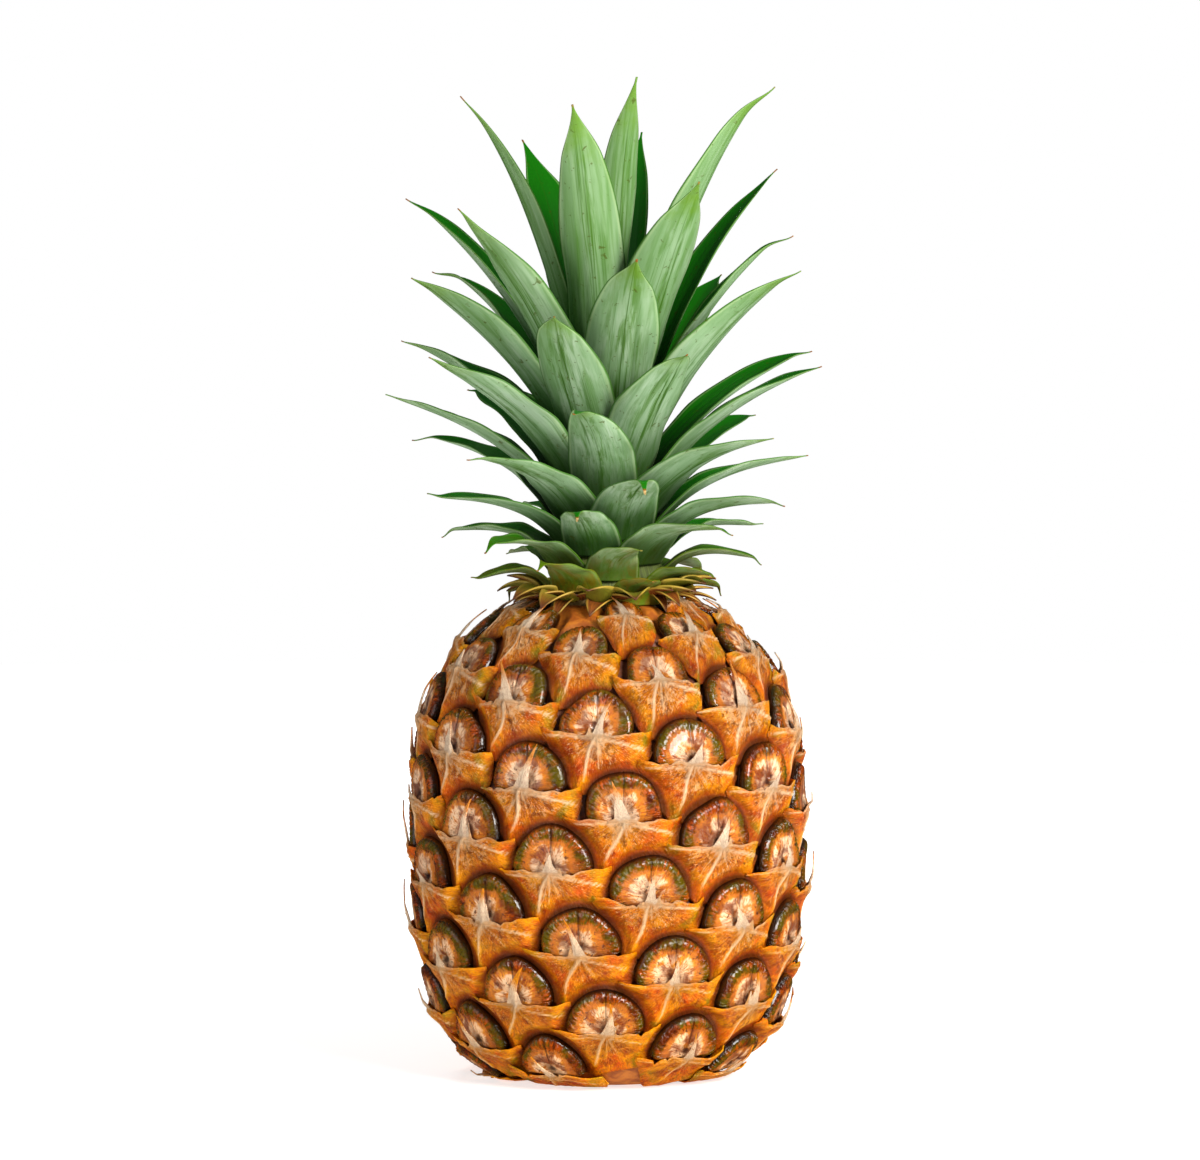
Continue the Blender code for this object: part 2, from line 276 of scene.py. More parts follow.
class PineappleRind(bpy.types.PropertyGroup):
    """Sizes and colours of the fruit's eyes and bracts."""

    eye_half_width: length_setting("Eye half width", "From the middle of an eye to its side", 13.2 * MM, 0.03)
    eye_top: length_setting("Eye top", "From the middle of an eye's fan to its top rim", 13.6 * MM, 0.03)
    fan_drop: length_setting("Fan drop", "How far a fan's root lies below its eye's middle", 5.4 * MM, 0.02)
    ticks: IntProperty(name="Rim ticks", description="Small pleats round the rim", default=34, min=8, max=80)
    tick_depth: length_setting("Tick depth", "Depth of the pleats in the rim", 0.15 * MM, 0.002)
    groove_depth: length_setting("Groove depth", "How deep the skin lies between the eyes", 1.2 * MM, 0.01)
    bract_swell: length_setting("Bract swell", "How far a bract stands over the skin", 2.1 * MM, 0.01)
    bract_lift: length_setting("Bract lift", "How far a bract's free edge lifts from its eye", 1.3 * MM, 0.01)
    bract_thickness: length_setting("Bract thickness", "Thickness of the papery bracts", 0.4 * MM, 0.002)
    spike_length: length_setting("Spike length", "Length of the dry spike of a bract", 10.5 * MM, 0.03)
    rim_green: colour_setting("Rim green", "Glossy olive rim of the eyes", 104, 90, 8)
    rim_brown: colour_setting("Rim brown", "Glossy brown rim of the eyes", 108, 48, 4)
    flesh: colour_setting("Fibre tan", "Pale fibres in the middle of an eye", 228, 172, 126)
    core: colour_setting("Fibre cream", "Dry patches beside the spike", 252, 226, 200)
    amber: colour_setting("Amber", "Orange flesh between the fibres", 190, 92, 4)
    russet: colour_setting("Russet", "Red-brown stains", 112, 28, 6)
    bract_orange: colour_setting("Bract orange", "Body of the bracts", 222, 104, 2)
    bract_yellow: colour_setting("Bract yellow", "Ripe corners of the bracts", 236, 160, 4)
    bract_green: colour_setting("Bract green", "Unripe tints at the corners", 132, 128, 12)
    bract_paper: colour_setting("Bract paper", "Dry papery middle of the bracts", 222, 148, 88)
    bract_cream: colour_setting("Bract cream", "Bleached ridges, edges and spikes", 255, 224, 190)
    # The groove colour is partly painted shade. It colours the skin between the eyes and the bracts where
    # they sink round the eyes.
    groove: colour_setting("Groove", "Deep skin between the eyes", 84, 30, 2)


class PineappleCrown(bpy.types.PropertyGroup):
    """Sizes and colours of the crown."""

    leaf_thickness: length_setting("Leaf thickness", "Thickness of a leaf along its middle", 0.95 * MM, 0.005)
    bloom: colour_setting("Waxy bloom", "Grey-green bloom on the outer face of a leaf", 166, 190, 158)
    rubbed: colour_setting("Rubbed green", "Outer face where the bloom is rubbed away", 76, 118, 30)
    # Painted shade on the outer face towards the foot.
    painted_foot_shade: colour_setting("Deep green", "Outer face towards the foot", 74, 114, 52)
    inner: colour_setting("Inner green", "Glossy inner face of a leaf", 22, 104, 18)
    margin: colour_setting("Margin green", "Thin margin of a leaf", 70, 116, 34)
    olive: colour_setting("Olive", "Low leaves by the fruit", 112, 130, 42)
    tip: colour_setting("Tip brown", "Dry point of a leaf", 150, 106, 64)
    stem: colour_setting("Stem", "Flesh of the crown's stem", 118, 134, 56)


class PineappleStage(bpy.types.PropertyGroup):
    """The floor, the lights and the camera."""

    floor: colour_setting("Floor", "Plain pale floor", 210, 210, 210)
    floor_glow: FloatProperty(name="Floor glow", description="Even light that the floor gives", default=0.67)
    lens: FloatProperty(name="Lens", description="Focal length in mm", default=150.0, min=20.0, max=300.0)
    view_width: length_setting("View width", "Width of the picture at the fruit's axis", 0.3828, 2.0)
    view_height: length_setting("View height", "Height that the camera looks at", 0.1575, 1.0)
    view_side: FloatProperty(
        name="View side", description="How far left of the axis it looks", default=0.0026, unit="LENGTH"
    )
    elevation: FloatProperty(
        name="Elevation", description="How far it looks down", default=math.radians(3.8), subtype="ANGLE"
    )
    key_power: FloatProperty(name="Key power", description="Light from the right, in watts", default=20.0)
    fill_power: FloatProperty(name="Fill power", description="Light from the left, in watts", default=2.6)
    back_power: FloatProperty(name="Back power", description="Light from behind, in watts", default=5.0)
    sky: FloatProperty(name="Sky", description="Strength of the even light all round", default=0.28)


# --- Shape helpers -------------------------------------------------------------------------------------


def read_curve(curve, share):
    """The value of a curve given as (share, value) pairs."""
    shares, values = zip(*curve)
    return np.interp(share, shares, values)


def smooth_step(low, high, value):
    share = np.clip((value - low) / (high - low), 0, 1)
    return share * share * (3 - 2 * share)


def smooth_line(points, per_span=40):
    """A Catmull-Rom line through the points, as an array of (radius, height)."""
    known = np.array(points)
    known = np.vstack([2 * known[0] - known[1], known, 2 * known[-1] - known[-2]])
    t = np.linspace(0, 1, per_span, endpoint=False)[:, None]
    spans = []
    for a, b, c, d in zip(known, known[1:], known[2:], known[3:]):
        spans.append(
            0.5 * (2 * b + (c - a) * t + (2 * a - 5 * b + 4 * c - d) * t**2 + (3 * b - a - 3 * c + d) * t**3)
        )
    return np.vstack([*spans, known[-2:-1]])


class Skin:
    """The fruit's smooth skin, read by depth: the distance down the skin from the rim of the crown's seat."""

    def __init__(self):
        line = smooth_line(SKIN_OUTLINE)[::-1]
        steps = np.hypot(*np.diff(line, axis=0).T)
        self.radii, self.heights = line.T
        self.depths = np.concatenate([[0.0], np.cumsum(steps)])
        rim = np.argmax(self.radii >= SEAT_RIM_RADIUS)
        self.depths -= self.depths[rim]

    def at(self, depth):
        """(radius, height) at a depth."""
        return np.interp(depth, self.depths, self.radii), np.interp(depth, self.depths, self.heights)

    def outward(self, depth):
        """The unit normal at a depth, as (radial part, upward part)."""
        step = 1.5 * MM
        r0, z0 = self.at(depth - step)
        r1, z1 = self.at(depth + step)
        along_r, along_z = r1 - r0, z1 - z0
        size = np.hypot(along_r, along_z) + 1e-9
        return -along_z / size, along_r / size

    def place(self, azimuth, depth, lift):
        """Points in space at a lift over the skin. Nothing sinks under the floor."""
        radius, height = self.at(depth)
        out_r, out_z = self.outward(depth)
        radius = radius + out_r * lift
        height = np.maximum(height + out_z * lift, FLOOR_GAP)
        return np.stack([radius * np.sin(azimuth), -radius * np.cos(azimuth), height], axis=-1)


SKIN = Skin()


EYE_NUMBERS = np.arange(FIRST_EYE, LAST_EYE + 1)
EYES = range(len(EYE_NUMBERS))
EYE_DEPTHS = FIRST_EYE_DEPTH + EYE_STEP * EYE_NUMBERS
EYE_AZIMUTHS = FIRST_EYE_AZIMUTH + EYE_TURN * EYE_NUMBERS
# Eyes get much narrower and a little shorter where the fruit narrows.
EYE_NARROWING = np.maximum(SKIN.at(EYE_DEPTHS)[0] / WIDEST_SKIN, 0.4)
EYE_WIDTHS = EYE_NARROWING**0.85
EYE_HEIGHTS = EYE_NARROWING**0.15


def from_eye(eye, across, up):
    """(azimuth, depth) of a point given in an eye's own plane."""
    depth = EYE_DEPTHS[eye] - up * EYE_HEIGHTS[eye]
    radius = np.maximum(SKIN.at(depth)[0], LEAST_RADIUS)
    return EYE_AZIMUTHS[eye] + across * EYE_WIDTHS[eye] / radius, depth


def room_to_eyes(rind, azimuth, depth, skip=None):
    """How far each point is outside the nearest eye's cushion, in the eyes' own scale. Negative is inside."""
    azimuth, depth = azimuth.ravel()[:, None], depth.ravel()[:, None]
    turn = azimuth - EYE_AZIMUTHS[None, :]
    turn = (turn + math.pi) % (2 * math.pi) - math.pi
    across = turn * SKIN.at(depth)[0] / EYE_WIDTHS
    up = (EYE_DEPTHS[None, :] - depth) / EYE_HEIGHTS + rind.fan_drop
    tall = np.where(up > 0, rind.eye_top, FAN_FOOT)
    room = (np.sqrt((across / rind.eye_half_width) ** 2 + (up / tall) ** 2) - 1) * rind.eye_half_width
    if skip is not None:
        room[:, skip] = 1.0
    return room.min(axis=1)


# --- Mesh helpers --------------------------------------------------------------------------------------


def deselect_all():
    """Leaves nothing selected."""
    for other in bpy.context.selected_objects:
        other.select_set(False)


def added(name, add, **settings):
    """A new primitive, with nothing else selected."""
    deselect_all()
    add(location=(0, 0, 0), **settings)
    piece = bpy.context.object
    piece.name = piece.data.name = name
    return piece


def copied(pattern, name):
    """A new piece with its own copy of the pattern's mesh."""
    piece = bpy.data.objects.new(name, pattern.data.copy())
    piece.data.name = name
    bpy.context.scene.collection.objects.link(piece)
    return piece


def removed(piece):
    """Deletes a pattern once its copies are made."""
    mesh = piece.data
    bpy.data.objects.remove(piece)
    bpy.data.meshes.remove(mesh)


def read_places(piece):
    places = np.zeros(len(piece.data.vertices) * 3)
    piece.data.vertices.foreach_get("co", places)
    return places.reshape(-1, 3)


def write_places(piece, places):
    piece.data.vertices.foreach_set("co", np.ascontiguousarray(places).ravel())
    piece.data.update()


def mark(piece, name, *channels):
    """Stores up to three values per vertex for the materials to read."""
    count = len(piece.data.vertices)
    filled = [np.broadcast_to(np.asarray(channel, float), (count,)) for channel in channels]
    while len(filled) < 3:
        filled.append(np.zeros(count))
    attribute = piece.data.attributes.new(name, "FLOAT_VECTOR", "POINT")
    attribute.data.foreach_set("vector", np.stack(filled, axis=-1).astype(np.float32).ravel())


def with_modifier(piece, kind, **settings):
    """Adds a modifier with these settings and applies it."""
    deselect_all()
    piece.select_set(True)
    bpy.context.view_layer.objects.active = piece
    modifier = piece.modifiers.new(kind.lower(), kind)
    for key, value in settings.items():
        setattr(modifier, key, value)
    bpy.ops.object.modifier_apply(modifier=modifier.name)


def joined(name, pieces):
    """The pieces as one."""
    deselect_all()
    for piece in pieces:
        piece.select_set(True)
    bpy.context.view_layer.objects.active = pieces[0]
    if len(pieces) > 1:
        bpy.ops.object.join()
    whole = bpy.context.view_layer.objects.active
    whole.name = whole.data.name = name
    return whole


def finished(piece, materials, replaces=()):
    """Gives a finished piece its materials and its place in the frame."""
    piece.data.shade_smooth()
    if not piece.data.materials:
        for material in materials:
            piece.data.materials.append(material)
    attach(piece, "root")
    if replaces:
        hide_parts(*replaces)
    return piece


# --- Material helpers ----------------------------------------------------------------------------------


class Wiring:
    """Short ways to add nodes to a material or a group."""

    def __init__(self, tree):
        self.tree = tree

    def put(self, socket, value):
        if isinstance(value, bpy.types.NodeSocket):
            self.tree.links.new(value, socket)
        elif isinstance(value, tuple) and len(value) == 3 and socket.type == "RGBA":
            socket.default_value = (*value, 1.0)
        else:
            socket.default_value = value

    def node(self, kind, inputs=None, **settings):
        made = self.tree.nodes.new(kind)
        for key, value in settings.items():
            setattr(made, key, value)
        for key, value in (inputs or {}).items():
            self.put(made.inputs[key], value)
        return made

    def maths(self, operation, first, second=0.0):
        return self.node("ShaderNodeMath", {0: first, 1: second}, operation=operation).outputs[0]

    def times(self, *values):
        whole = values[0]
        for value in values[1:]:
            whole = self.maths("MULTIPLY", whole, value)
        return whole

    def plus(self, first, second):
        return self.maths("ADD", first, second)

    def minus(self, first, second):
        return self.maths("SUBTRACT", first, second)

    def size(self, vector):
        return self.node("ShaderNodeVectorMath", {0: vector}, operation="LENGTH").outputs["Value"]

    def split(self, vector):
        return self.node("ShaderNodeSeparateXYZ", {0: vector}).outputs

    def combine(self, x=0.0, y=0.0, z=0.0):
        return self.node("ShaderNodeCombineXYZ", {0: x, 1: y, 2: z}).outputs[0]

    def attribute(self, name):
        return self.node("ShaderNodeAttribute", attribute_name=name).outputs["Vector"]

    def place(self):
        return self.node("ShaderNodeTexCoord").outputs["Object"]

    def between(self, value, low, high, first=0.0, last=1.0):
        """value eased from low to high, as first to last."""
        inputs = {"Value": value, "From Min": low, "From Max": high, "To Min": first, "To Max": last}
        return self.node("ShaderNodeMapRange", inputs, interpolation_type="SMOOTHSTEP").outputs["Result"]

    def mix(self, share, first, second):
        made = self.node("ShaderNodeMix", data_type="RGBA", clamp_factor=True)
        self.put(made.inputs["Factor"], share)
        self.put(made.inputs[6], first)
        self.put(made.inputs[7], second)
        return made.outputs[2]

    def deepened(self, colour, gamma, saturation, value=1.0):
        """The colour with darker darks and purer tints."""
        darker = self.node("ShaderNodeGamma", {"Color": colour, "Gamma": gamma}).outputs["Color"]
        inputs = {"Color": darker, "Saturation": saturation, "Value": value}
        return self.node("ShaderNodeHueSaturation", inputs).outputs["Color"]

    def noise(self, vector, scale, detail=3.0, roughness=0.55, distortion=0.0):
        inputs = {"Vector": vector, "Scale": scale, "Detail": detail}
        inputs.update({"Roughness": roughness, "Distortion": distortion})
        return self.node("ShaderNodeTexNoise", inputs).outputs["Fac"]

    def flattened(self, mask, share):
        """The mask drawn towards its middle by a share."""
        return self.node("ShaderNodeMix", {0: share, 2: mask, 3: 0.5}, data_type="FLOAT").outputs[0]

    def group(self, name, inputs):
        made = self.node("ShaderNodeGroup", node_tree=group_named(name))
        for key, value in inputs.items():
            self.put(made.inputs[key], value)
        return made.outputs[0]

    def fibres(self, along, across, seed, count, stretch):
        inputs = {"Along": along, "Across": across, "Seed": seed, "Count": count, "Stretch": stretch}
        return self.group("fibres", inputs)

    def blotches(self, vector, seed, scale, cover, softness=0.12):
        inputs = {"Vector": vector, "Seed": seed, "Scale": scale, "Cover": cover, "Softness": softness}
        return self.group("blotches", inputs)


def new_group(name, inputs):
    """A group that gives one mask. An input whose default is None is a vector, and the others are numbers."""
    tree = bpy.data.node_groups.new(name, "ShaderNodeTree")
    for label, default in inputs.items():
        if default is None:
            tree.interface.new_socket(name=label, in_out="INPUT", socket_type="NodeSocketVector")
        else:
            socket = tree.interface.new_socket(name=label, in_out="INPUT", socket_type="NodeSocketFloat")
            socket.default_value = default
    tree.interface.new_socket(name="Mask", in_out="OUTPUT", socket_type="NodeSocketFloat")
    wires = Wiring(tree)
    start = wires.node("NodeGroupInput")
    end = wires.node("NodeGroupOutput")
    return tree, wires, start.outputs, end.inputs[0]


def fibre_group():
    """Fibres that run along the first axis of their plane, as a mask from 0 to 1."""
    tree, wires, given, out = new_group(
        "fibres",
        {"Along": 0.0, "Across": 0.0, "Seed": 0.0, "Count": 20.0, "Stretch": 0.1},
    )
    across = wires.times(given["Across"], given["Count"])
    along = wires.times(given["Along"], wires.times(given["Count"], given["Stretch"]))
    flow = wires.combine(across, along, given["Seed"])
    coarse = wires.noise(flow, 1.0, 3.0, 0.6, 0.35)
    fine = wires.noise(flow, 3.1, 2.0, 0.6, 0.2)
    both = wires.plus(wires.times(coarse, 0.65), wires.times(fine, 0.35))
    wires.tree.links.new(wires.between(both, 0.33, 0.67), out)
    return tree


def blotch_group():
    """Soft-edged patches, as a mask from 0 to 1. Cover is the share that they fill."""
    tree, wires, given, out = new_group(
        "blotches",
        {"Vector": None, "Seed": 0.0, "Scale": 100.0, "Cover": 0.4, "Softness": 0.12},
    )
    away = wires.combine(given["Seed"], given["Seed"], given["Seed"])
    moved = wires.node("ShaderNodeVectorMath", {0: given["Vector"], 1: away}, operation="ADD").outputs[0]
    noise = wires.noise(moved, given["Scale"], 4.0, 0.6, 0.6)
    middle = wires.minus(0.72, wires.times(given["Cover"], 0.44))
    low = wires.minus(middle, given["Softness"])
    high = wires.plus(middle, given["Softness"])
    wires.tree.links.new(wires.between(noise, low, high), out)
    return tree


def group_named(name):
    """The group of this name, made when it is first asked for."""
    makers = {"fibres": fibre_group, "blotches": blotch_group}
    return bpy.data.node_groups.get(name) or makers[name]()


def new_material(name):
    """A new material with its wiring and its shader."""
    material = bpy.data.materials.new(name)
    material.use_nodes = True
    wires = Wiring(material.node_tree)
    return material, wires, material.node_tree.nodes["Principled BSDF"]


def bump(wires, shader, height, strength, distance):
    """Gives the material a bump from a height mask."""
    made = wires.node("ShaderNodeBump", {"Height": height, "Strength": strength, "Distance": distance})
    wires.put(shader.inputs["Normal"], made.outputs["Normal"])


# --- The rind ------------------------------------------------------------------------------------------


def skin_material(rind):
    """Deep brown skin, seen only in the grooves. Its dark colour is partly painted shade for the grooves."""
    material, wires, shader = new_material("deep_skin")
    place = wires.place()
    stain = wires.blotches(place, 0.0, 160.0, 0.5)
    level = wires.split(place)[2]
    colour = wires.mix(stain, tuple(rind.groove), srgb(128, 62, 14))
    # By the crown and on the underside the skin is dry and orange like the bracts.
    end = wires.plus(wires.between(level, 0.141, 0.148), wires.between(level, 0.012, 0.006))
    dry = wires.mix(stain, srgb(166, 84, 20), srgb(206, 120, 30))
    colour = wires.mix(end, colour, dry)
    wires.put(shader.inputs["Base Color"], colour)
    shader.inputs["Roughness"].default_value = 0.55
    grain = wires.noise(place, 900.0, 3.0)
    bump(wires, shader, grain, 0.5, 0.4 * MM)
    return material


def fruit_skin(rind):
    """The skin under the eyes: a sphere drawn out to the fruit's barrel, grooved round each eye."""
    sphere = bpy.ops.mesh.primitive_uv_sphere_add
    piece = added("fruit_skin", sphere, segments=300, ring_count=170, radius=1.0)
    places = read_places(piece)
    down = np.arccos(np.clip(places[:, 2], -1, 1)) / math.pi
    azimuth = np.arctan2(places[:, 0], -places[:, 1])
    top, foot = SKIN.depths[0], SKIN.depths[-1]
    share = np.clip((down - SEAT_SHARE) / (1 - SEAT_SHARE - RECESS_SHARE), 0, 1)
    depth = top + (foot - top) * share
    room = room_to_eyes(rind, azimuth, depth)
    swell = rind.bract_swell * smooth_step(0.0, 5.0 * MM, room)
    above_foot = smooth_step(0, 8 * MM, foot - 14 * MM - depth)
    shaped = SKIN.place(azimuth, depth, (swell - rind.groove_depth - 0.5 * MM) * above_foot)
    # The first rings close the seat. The last ones turn up into the recess, and close over the stalk.
    radius, height = SKIN.at(depth)
    recess = STALK_RADIUS + 0.3 * MM
    left = np.clip((1 - down) / RECESS_SHARE, 0, 1)
    seat_ring = radius * np.clip(down / SEAT_SHARE, 0, 1)
    recess_ring = np.interp(left, [0.0, 0.25, 0.5], [0.0, recess, recess])
    recess_ring = np.where(left > 0.5, recess + (radius - recess) * (left - 0.5) * 2, recess_ring)
    ring = np.where(down < 0.5, seat_ring, recess_ring)
    level = np.where((down > 0.5) & (left < 0.5), STALK_TOP + 0.4 * MM, height)
    flat = np.stack([ring * np.sin(azimuth), -ring * np.cos(azimuth), level], axis=-1)
    closing = (down <= SEAT_SHARE) | (down >= 1 - RECESS_SHARE)
    shaped[closing] = flat[closing]
    write_places(piece, shaped)
    return finished(piece, [skin_material(rind)], ["fruit_body"])


def eye_material(rind):
    """Glossy olive and brown rim, beaded and wet, round pale radiating fibres."""
    material, wires, shader = new_material("eye_flesh")
    turn, share, tone = wires.split(wires.attribute("fan"))
    place = wires.attribute("spot")
    seed = wires.times(tone, 37.0)
    fibres = wires.fibres(share, turn, seed, 40.0, 0.10)

    def stains(offset, scale, cover, softness=0.1):
        return wires.blotches(place, wires.plus(seed, offset), scale, cover, softness)

    # How far the pale fibres reach differs from eye to eye and round each eye.
    wander = wires.times(wires.minus(wires.noise(place, 2.6, 3.0), 0.5), 0.62)
    by_eye = wires.times(wires.minus(tone, 0.5), 0.12)
    reach = wires.plus(wires.plus(share, wander), by_eye)
    core = wires.between(reach, 0.80, 0.60)
    flesh = wires.mix(wires.between(fibres, 0.1, 0.7), tuple(rind.amber), tuple(rind.flesh))
    # Dry cream patches lie on both sides of the spike.
    patch = wires.times(stains(2.0, 2.3, 0.66, 0.07), wires.between(reach, 0.64, 0.50))
    cream = wires.times(patch, wires.between(fibres, 0.05, 0.45, 0.35, 1.0))
    flesh = wires.mix(wires.times(cream, 0.95), flesh, tuple(rind.core))
    flesh = wires.mix(wires.times(stains(0.0, 2.0, 0.44), 0.72), flesh, tuple(rind.russet))
    gold = wires.times(stains(31.0, 1.3, 0.5), wires.between(reach, 0.45, 0.62))
    flesh = wires.mix(wires.times(gold, 0.85), flesh, srgb(206, 122, 6))
    rim = wires.mix(stains(21.0, 1.5, 0.55), tuple(rind.rim_brown), tuple(rind.rim_green))
    ambers = wires.times(stains(9.0, 2.4, 0.40), wires.between(fibres, 0.1, 0.6), 0.8)
    rim = wires.mix(ambers, rim, tuple(rind.amber))
    colour = wires.mix(core, rim, flesh)
    # Painted shade: the rim darkens to near black where the cushion falls into the groove.
    colour = wires.mix(wires.between(share, 0.84, 0.95), colour, srgb(30, 12, 1))
    # The seam where two sepals meet, up from the root, and dark flecks all over.
    off_seam = wires.maths("ABSOLUTE", wires.minus(turn, 0.5))
    seam = wires.times(wires.between(off_seam, 0.02, 0.0), wires.between(share, 0.1, 0.3))
    colour = wires.mix(wires.times(seam, 0.6), colour, srgb(60, 22, 4))
    colour = wires.mix(wires.times(stains(44.0, 9.0, 0.20, 0.04), 0.75), colour, srgb(74, 24, 4))
    # Painted shade: the hollow at the fan's root, by the spike, is darkened.
    root = wires.between(share, 0.16, 0.04)
    colour = wires.mix(wires.times(root, 0.7), colour, srgb(58, 20, 8))
    # The fruit is riper and purer in tint at its foot and duller in tint by the crown. Painted light: it is
    # also painted lighter at its foot, as if lit by the floor, and darker by the crown.
    level = wires.split(wires.place())[2]
    ripeness = wires.between(level, 0.0, 0.1, 1.40, 1.24)
    painted_light_by_height = wires.between(level, 0.09, 0.15, 1.12, 0.96)
    wires.put(shader.inputs["Base Color"], wires.deepened(colour, 1.22, ripeness, painted_light_by_height))
    dry = wires.times(core, wires.between(fibres, 0.0, 1.0, 0.5, 1.0))
    wires.put(shader.inputs["Roughness"], wires.between(dry, 0.0, 1.0, 0.13, 0.6))
    # Wet beads stand along the rim.
    bent = wires.plus(wires.times(turn, 110.0), wires.times(wires.noise(place, 2.2, 2.0), 26.0))
    on_rim = wires.times(wires.between(share, 0.60, 0.78), wires.between(share, 0.97, 0.86))
    beads = wires.times(wires.maths("SINE", bent), on_rim)
    height = wires.plus(wires.times(fibres, 0.5), wires.times(beads, 0.42))
    lumps = wires.times(wires.noise(place, 7.0, 3.0), 0.9)
    bump(wires, shader, wires.plus(height, lumps), 0.9, 0.5 * MM)
    shader.inputs["Specular IOR Level"].default_value = 0.5
    shader.inputs["Coat Weight"].default_value = 0.5
    shader.inputs["Coat Roughness"].default_value = 0.06
    return material


def eye_shape(rind, pattern, chance):
    """(turn, share of the way out, across, up, lift) of the pattern's points for one eye."""
    round_it = np.arctan2(pattern[:, 1], pattern[:, 0]) - math.pi / 2
    round_it = (round_it + math.pi) % (2 * math.pi) - math.pi
    # More of the pattern's spokes go to the upper fan, which shows.
    turn = round_it - 0.42 * np.sin(round_it) + math.pi / 2
    polar = np.arccos(np.clip(pattern[:, 2], -1, 1)) / math.pi
    on_top = polar <= CUSHION_SHARE
    below = (polar - CUSHION_SHARE) / (1 - CUSHION_SHARE)
    share = np.where(on_top, polar / CUSHION_SHARE, 1 - below)
    wobble = 0.0
    for waves in (2, 3, 4, 5):
        depth = chance.uniform(-0.035, 0.035)
        wobble = wobble + depth * np.sin(waves * turn + chance.uniform(0, 2 * math.pi))
    tall = np.where(np.sin(turn) > 0, rind.eye_top, FAN_FOOT)
    across = rind.eye_half_width * np.cos(turn) * share * (1 + wobble)
    up = tall * np.sin(turn) * share * (1 + wobble) - rind.fan_drop
    lift = read_curve(CUSHION, share)
    for waves in (1, 2, 3):
        lift = lift + chance.uniform(-0.28, 0.28) * MM * np.sin(waves * turn + chance.uniform(0, 6)) * share
    phase = chance.uniform(0, 6)
    ticks = np.cos(rind.ticks * turn + phase + 1.2 * np.sin(2 * turn + phase))
    lift = lift + rind.tick_depth * ticks * np.exp(-(((share - 0.82) / 0.12) ** 2))
    seam = np.exp(-((across / (0.45 * MM)) ** 2)) * smooth_step(0.15, 0.4, share) * (np.sin(turn) > 0)
    lift = lift - 0.45 * MM * seam
    pit = np.array([chance.uniform(-1.6, 1.6), chance.uniform(-4.2, -3.2)]) * MM
    lift = lift - 1.1 * MM * np.exp(-((across - pit[0]) ** 2 + (up - pit[1]) ** 2) / (1.1 * MM) ** 2)
    lift = lift - 1.3 * MM * smooth_step(-6.5 * MM, -9.5 * MM, up)
    lift = np.where(on_top, lift, -1.0 * MM - 1.0 * MM * (1 - share))
    return turn, share, across, up, lift


def eyes(rind):
    """The fruit's eyes, each a fan-shaped cushion pressed from a sphere, in two halves of the fruit."""
    sphere = bpy.ops.mesh.primitive_uv_sphere_add
    pattern = added("eye_pattern", sphere, segments=92, ring_count=22, radius=1.0)
    points = read_places(pattern)
    material = eye_material(rind)
    made = []
    for eye in EYES:
        chance = np.random.default_rng(EYE_SEED * 1000 + int(eye))
        piece = copied(pattern, f"eye_{eye + 1:02d}")
        turn, share, across, up, lift = eye_shape(rind, points, chance)
        azimuth, depth = from_eye(eye, across, up)
        write_places(piece, SKIN.place(azimuth, depth, lift * EYE_HEIGHTS[eye]))
        tone = chance.uniform(0, 1)
        mark(piece, "fan", turn / math.pi, share, tone)
        mark(piece, "spot", across / SPOT_SIZE, up / SPOT_SIZE, lift / SPOT_SIZE)
        made.append(piece)
    removed(pattern)
    half = len(made) // 2
    for name, members in (("eyes_upper", made[:half]), ("eyes_lower", made[half:])):
        finished(joined(name, members), [material], ["fruit_body"])


